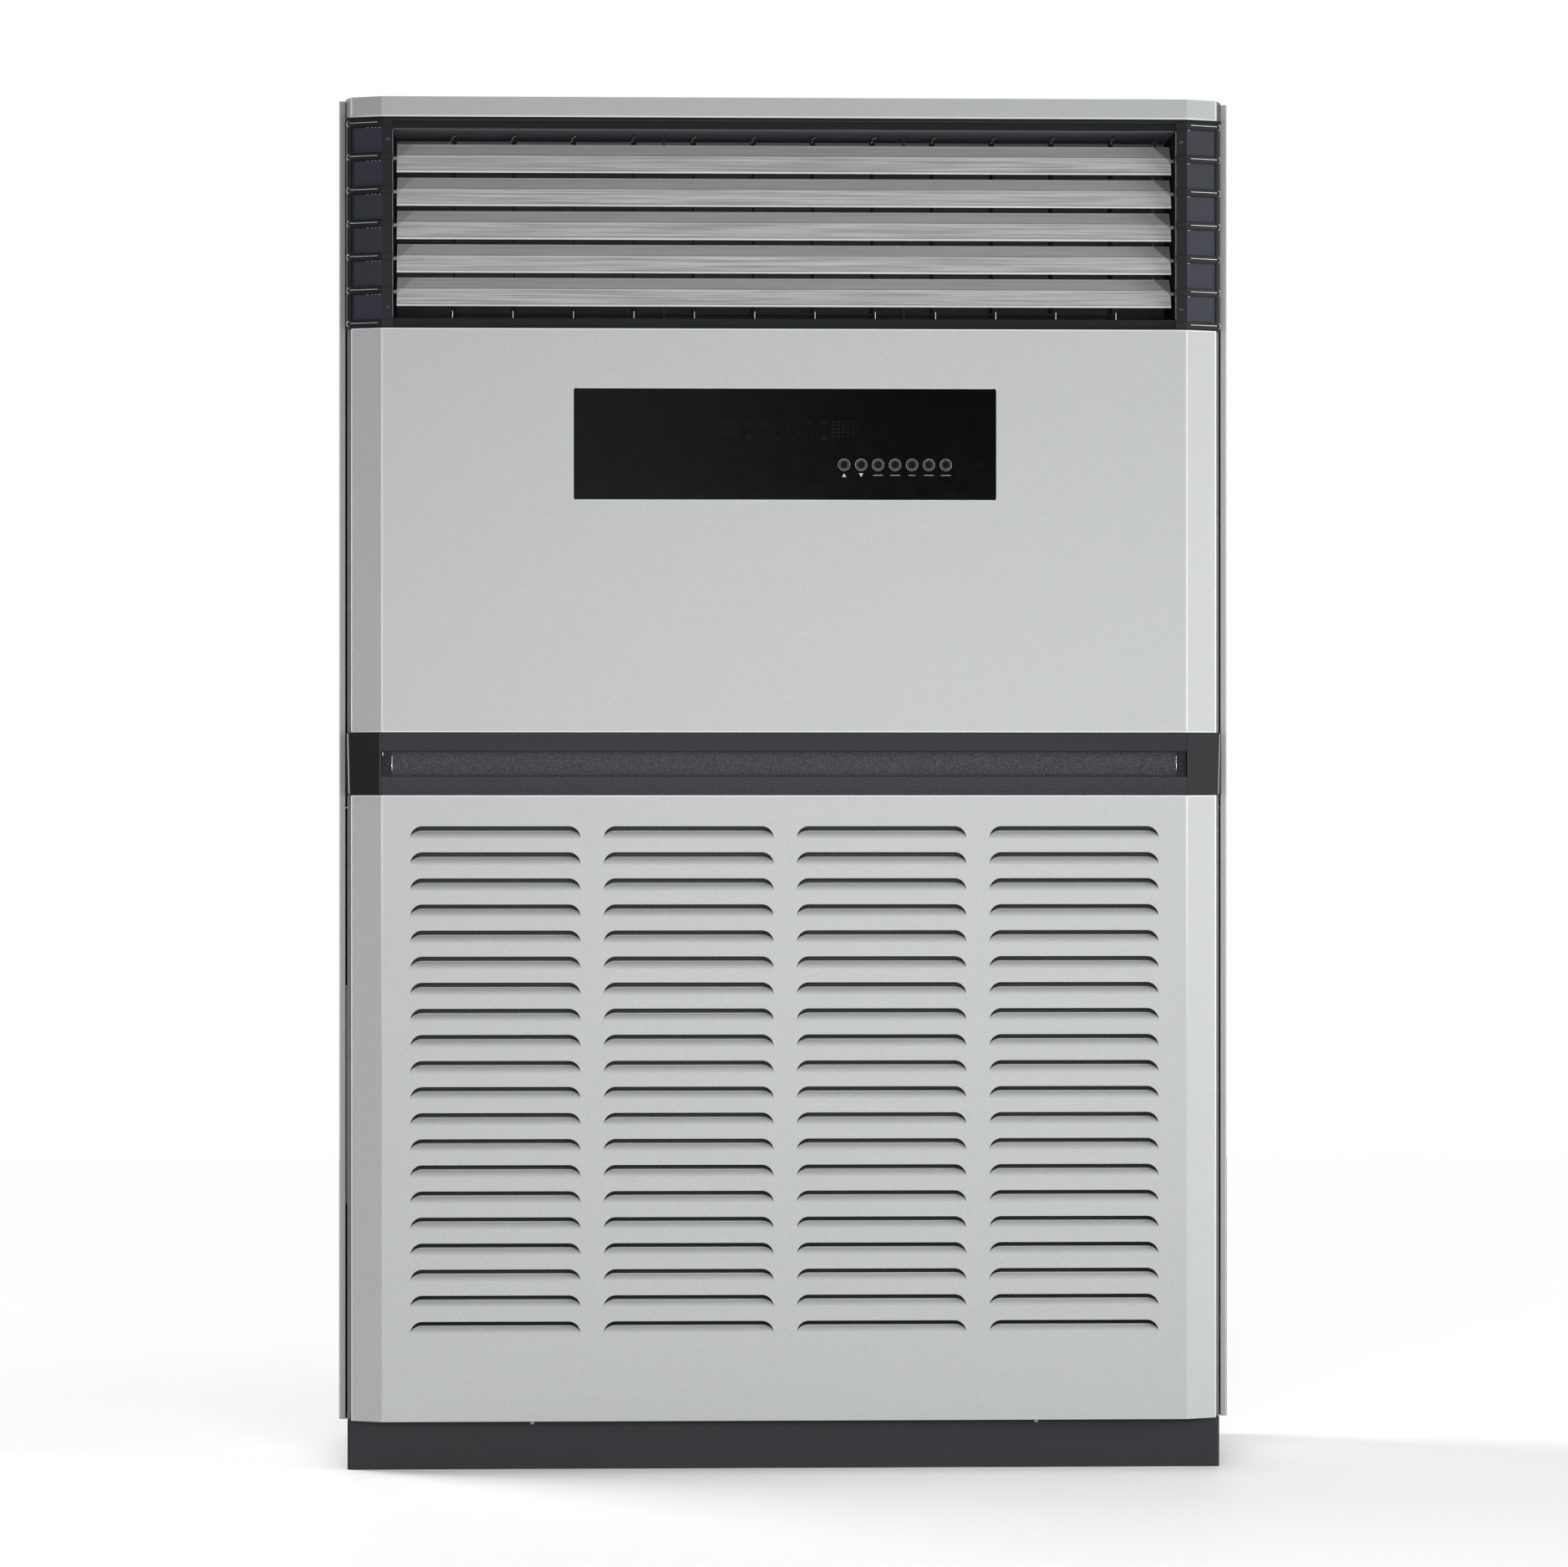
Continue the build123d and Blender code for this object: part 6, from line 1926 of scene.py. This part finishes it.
@dataclass
class Studio:
    """Floor, soft light, white background and the camera, in metres.

    Args:
        palette: the materials.
        lamps: the lamps: one from the right, a low one in front and one for the floor's shadow.
        floor_half: half the floor's width.
        floor_drop: how far the floor lies below the feet.
        dim: strength of the world's own light on the object.
        camera_place: where the camera stands.
        aim: where it points.
        lens: its focal length in mm.
        sensor: its sensor's width in mm.
    """

    palette: Palette
    lamps: Tuple[Lamp, ...] = (
        Lamp("KeyLight", (3.6, -1.7, 1.15), (0.0, -0.2, 1.0), (1.8, 2.2), 72.0),
        Lamp("FillLight", (-0.05, -3.4, 0.95), (0.0, 0.0, 0.95), (2.2, 0.8), 49.0),
        Lamp("FloorLight", (-2.6, 1.1, 2.6), (-1.6, 0.5, 0.0), (1.6, 1.2), 55.0),
    )
    floor_half: float = 6.0
    floor_drop: float = 0.0005
    dim: float = 0.05
    camera_place: Point = (-0.26, -7.71, 0.9272)
    aim: Point = (-0.0017, -0.21, 0.9255)
    lens: float = 127.8
    sensor: float = 36.0

    def light(self, lamp: Lamp) -> Piece:
        """Set up one lamp, which the camera doesn't see.

        Args:
            lamp: its settings.

        Returns:
            The lamp's object.
        """
        data = bpy.data.lights.new(lamp.name, "AREA")
        data.shape = "RECTANGLE"
        data.size, data.size_y = lamp.size
        data.energy = lamp.power
        obj = put(lamp.name, data)
        obj.location = lamp.place
        obj.rotation_euler = look_at(lamp.place, lamp.target)
        obj.visible_camera = False
        return obj

    def floor(self) -> Piece:
        """Lay the floor: a shadow catcher, which shows the background where no shadow falls.

        Returns:
            The floor's object.
        """
        mesh = bpy.data.meshes.new("StudioFloor")
        shape = bmesh.new()
        bmesh.ops.create_grid(shape, x_segments=8, y_segments=8, size=self.floor_half)
        bmesh.ops.translate(shape, verts=shape.verts, vec=(0, 0, -self.floor_drop))
        shape.to_mesh(mesh)
        shape.free()
        floor = put("StudioFloor", mesh)
        mesh.materials.append(self.palette.get(Look.FLOOR))
        floor.is_shadow_catcher = True
        return floor

    def world(self) -> None:
        """Light the studio evenly, with white for the camera and for what gloss and glass show."""
        sky = Shader(bpy.data.worlds.new("StudioWorld"), "ShaderNodeOutputWorld")
        shown = sky.add("LightPath", out="Is Camera Ray")
        for label in ("Is Glossy Ray", "Is Transmission Ray"):
            shown = sky.add("Math:MAXIMUM", shown, sky.add("LightPath", out=label))
        light, white = (sky.add("Background", linear("FFFFFF"), strength) for strength in (self.dim, 1.0))
        bpy.context.scene.world = sky.finish(sky.add("MixShader", shown, light, white))

    def camera(self) -> Piece:
        """Set the camera in front of the cabinet, a little to its left.

        Returns:
            The camera's object.
        """
        data = bpy.data.cameras.new("StudioCamera")
        data.lens = self.lens
        data.sensor_width = self.sensor
        camera = put("StudioCamera", data)
        camera.location = self.camera_place
        camera.rotation_euler = look_at(self.camera_place, self.aim)
        bpy.context.scene.camera = camera
        return camera

    def build(self) -> List[Piece]:
        """Set up the studio.

        Returns:
            The floor, the lamps and the camera.
        """
        self.world()
        bpy.context.scene.view_settings.view_transform = "Standard"
        return [self.floor(), *(self.light(lamp) for lamp in self.lamps), self.camera()]


def main() -> None:
    """Load the frame, dress it, draw its details and set the studio up."""
    logging.basicConfig(level=logging.INFO, format="%(message)s")
    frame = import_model()
    palette = Palette()
    half_x, half_z = WINDOW_HALF
    window = rounded_box(half_x, WINDOW_Z - half_z, WINDOW_Z + half_z, WINDOW_CORNER)
    makers = (
        CadDress(frame, palette),
        FrontSheet(palette, "upper_front_panel", [window]),
        LouvredSheet(palette, "intake_panel"),
        OutletTrim(palette),
        StripTrim(palette),
        Screws(palette),
        DisplayPrint(palette),
        Studio(palette),
    )
    for maker in makers:
        for piece in maker.build():
            log.info("%s: %s", type(maker).__name__, piece.name)


if __name__ == "__main__":
    main()
